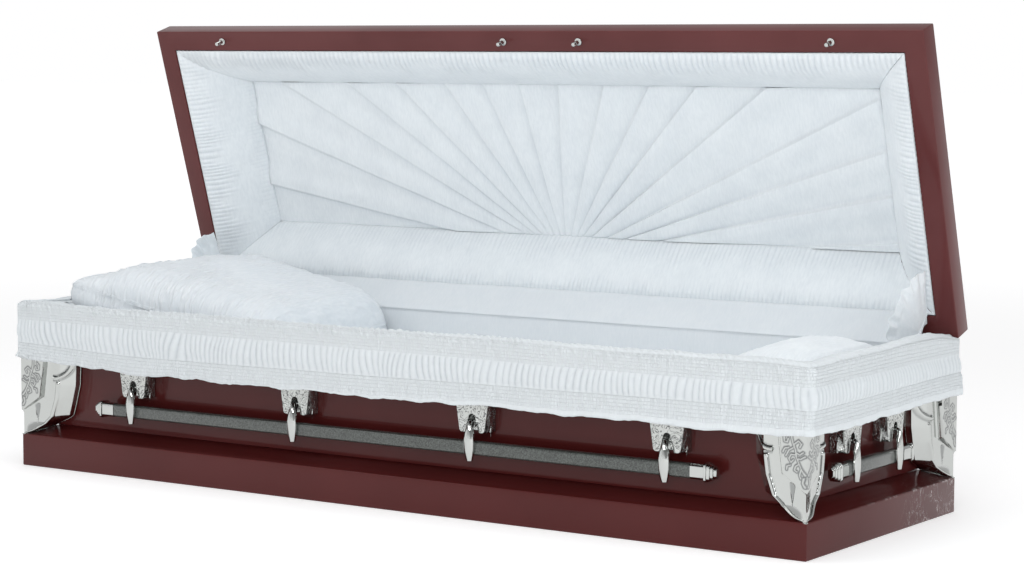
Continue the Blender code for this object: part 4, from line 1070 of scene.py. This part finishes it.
def web_form(side):
    x0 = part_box(f"corner_web_{side}")[0].x + 0.006
    way = -1.0 if side == "head" else 1.0

    def form(u, v):
        angle = math.radians(3.0) + (OPEN - math.radians(6.0)) * u
        r = 0.040 + 0.138 * v
        frill = soft_step(0.72, 0.80, v)
        fan = np.sin(u * math.pi * 9.0 + 3.0 * wander(u * 5.0, 71)) * 0.0016 * v * (1.0 - 0.5 * frill)
        ruffle = np.sin(u * math.pi * 10.0 + 5.0 * wander(u * 7.0, 73)) * 0.0034 * frill
        r = r * (0.90 + 0.14 * np.sin(u * math.pi)) + 0.006 * frill * wander(u * 10.0, 75)
        lean = 1.0 - soft_step(0.0, 0.75, u)
        x = x0 + way * (0.013 * v - 0.034 * v * lean) + fan + ruffle
        y = HINGE.y - r * np.cos(angle)
        z = HINGE.z + r * np.sin(angle)
        return np.stack([x, y, z], axis=1)

    return form


for side in ("head", "foot"):
    web = grid_piece(f"web_{side}", 260, 40, web_form(side))
    thicken(web, 0.0010)
    close_and_smooth(web)
    web.data.materials.append(crepe(f"crepe_web_{side}", 0.8))
    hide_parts(f"corner_web_{side}")
    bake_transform(web)

apron_low, apron_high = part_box("hinge_apron")


def apron_form(u, v):
    """Loose cloth from the panel lining's top edge up to the lid's lower roll."""
    x = apron_low.x - 0.012 + (apron_high.x - apron_low.x + 0.024) * u
    sag = 0.0035 * np.sin(np.pi * v) + 0.0016 * (drift(x * 7.0, v * 2.0, 81) - 0.5)
    y = apron_low.y - 0.0040 + (apron_high.y - apron_low.y + 0.0065) * v + sag * 0.6
    z = apron_low.z - 0.0040 + (apron_high.z - apron_low.z + 0.0080) * v - sag * 0.6
    return np.stack([x, y, z], axis=1)


apron = grid_piece("hinge_cloth", 400, 14, apron_form)
thicken(apron, 0.0008)
close_and_smooth(apron)
apron.data.materials.append(crepe("crepe_apron", 0.3, colour=LINING_CREPE))
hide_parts("hinge_apron")
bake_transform(apron)

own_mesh(skirt)
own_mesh(pillow)


# Studio: a pale floor, a soft sky, and four large soft lights, seen from where the
# photograph was taken.

CAMERA_AT = Vector((3.426, -4.906, 0.994))
YAW, PITCH, ROLL = (math.radians(a) for a in (33.913, 5.154, 0.238))
back = Vector((math.sin(YAW) * math.cos(PITCH), -math.cos(YAW) * math.cos(PITCH), math.sin(PITCH)))
level = Vector((math.cos(YAW), math.sin(YAW), 0.0))
rise = back.cross(level)
right = level * math.cos(ROLL) + rise * math.sin(ROLL)
up = -level * math.sin(ROLL) + rise * math.cos(ROLL)
lens = bpy.data.cameras.new("camera")
lens.lens = 91.99
lens.sensor_width = 36.0
lens.clip_end = 200.0
camera = bpy.data.objects.new("camera", lens)
bpy.context.scene.collection.objects.link(camera)
camera.matrix_world = Matrix.Translation(CAMERA_AT) @ Matrix((right, up, back)).transposed().to_4x4()
bpy.context.scene.camera = camera

bpy.ops.object.select_all(action="DESELECT")
bpy.ops.mesh.primitive_plane_add(size=120.0, location=(0.0, 0.0, -0.0005))
floor = bpy.context.object
floor.name = "floor"
pale = Finish("pale_floor", (0.70, 0.70, 0.70), 0.9, Emission_Strength=0.66)
spot = pale.add("ShaderNodeTexCoord", output="Object")
far = pale.add("ShaderNodeVectorMath", {"operation": "LENGTH"}, (spot,), output="Value").ramp(2.5, 9.0)
pale.set("Emission Color", pale.mix(far, (0.68, 0.68, 0.68), (1.0, 1.0, 1.0)))
pale.set("Roughness", 0.85 + 0.1 * pale.noise(4.0))
floor.data.materials.append(pale.material)

LIGHTS = (
    ("key", (-3.4, -3.6, 3.6), (0.0, 0.0, 0.5), 2.4, 30.0, (1.0, 1.0, 1.0)),
    ("fill", (4.6, -1.2, 2.4), (0.3, 0.0, 0.4), 2.4, 46.0, (0.95, 0.975, 1.0)),
    ("front", (2.6, -5.4, 2.4), (0.0, 0.2, 0.5), 1.8, 84.0, (1.0, 1.0, 1.0)),
    ("top", (0.0, -0.6, 4.2), (0.0, 0.0, 0.4), 3.0, 48.0, (1.0, 1.0, 1.0)),
)
for name, at, aim, size, power, colour in LIGHTS:
    lamp = bpy.data.lights.new(name, "AREA")
    lamp.size = size
    lamp.energy = power
    lamp.color = colour
    light = bpy.data.objects.new(name, lamp)
    light.location = at
    light.rotation_euler = (Vector(aim) - Vector(at)).to_track_quat("-Z", "Y").to_euler()
    bpy.context.scene.collection.objects.link(light)

world = bpy.data.worlds.new("studio")
world.use_nodes = True
bpy.context.scene.world = world
tree = world.node_tree
sky = tree.nodes["Background"]
coordinates = tree.nodes.new("ShaderNodeTexCoord")
split = tree.nodes.new("ShaderNodeSeparateXYZ")
shade = tree.nodes.new("ShaderNodeValToRGB")
facing = tree.nodes.new("ShaderNodeVectorMath")
facing.operation = "DOT_PRODUCT"
facing.inputs[1].default_value = (back.x, back.y, 0.12)
dark = tree.nodes.new("ShaderNodeMapRange")
dark.interpolation_type = "SMOOTHSTEP"
for index, value in ((1, 0.86), (2, 0.98), (3, 1.0), (4, 0.35)):
    dark.inputs[index].default_value = value
dimmed = tree.nodes.new("ShaderNodeVectorMath")
dimmed.operation = "SCALE"
tree.links.new(coordinates.outputs["Generated"], split.inputs[0])
tree.links.new(coordinates.outputs["Generated"], facing.inputs[0])
tree.links.new(facing.outputs["Value"], dark.inputs[0])
tree.links.new(split.outputs["Z"], shade.inputs[0])
tree.links.new(shade.outputs[0], dimmed.inputs[0])
tree.links.new(dark.outputs[0], dimmed.inputs["Scale"])
tree.links.new(dimmed.outputs[0], sky.inputs["Color"])
stops = ((0.0, 1.0), (0.03, 1.0), (0.09, 0.66), (0.35, 0.56), (0.60, 0.52), (1.0, 0.58))
while len(shade.color_ramp.elements) < len(stops):
    shade.color_ramp.elements.new(0.5)
for element, (at, grey) in zip(shade.color_ramp.elements, stops):
    element.position = at
    element.color = (grey, grey, grey * 1.01, 1.0)
sky.inputs["Strength"].default_value = 1.0
bpy.context.scene.view_settings.view_transform = "Standard"
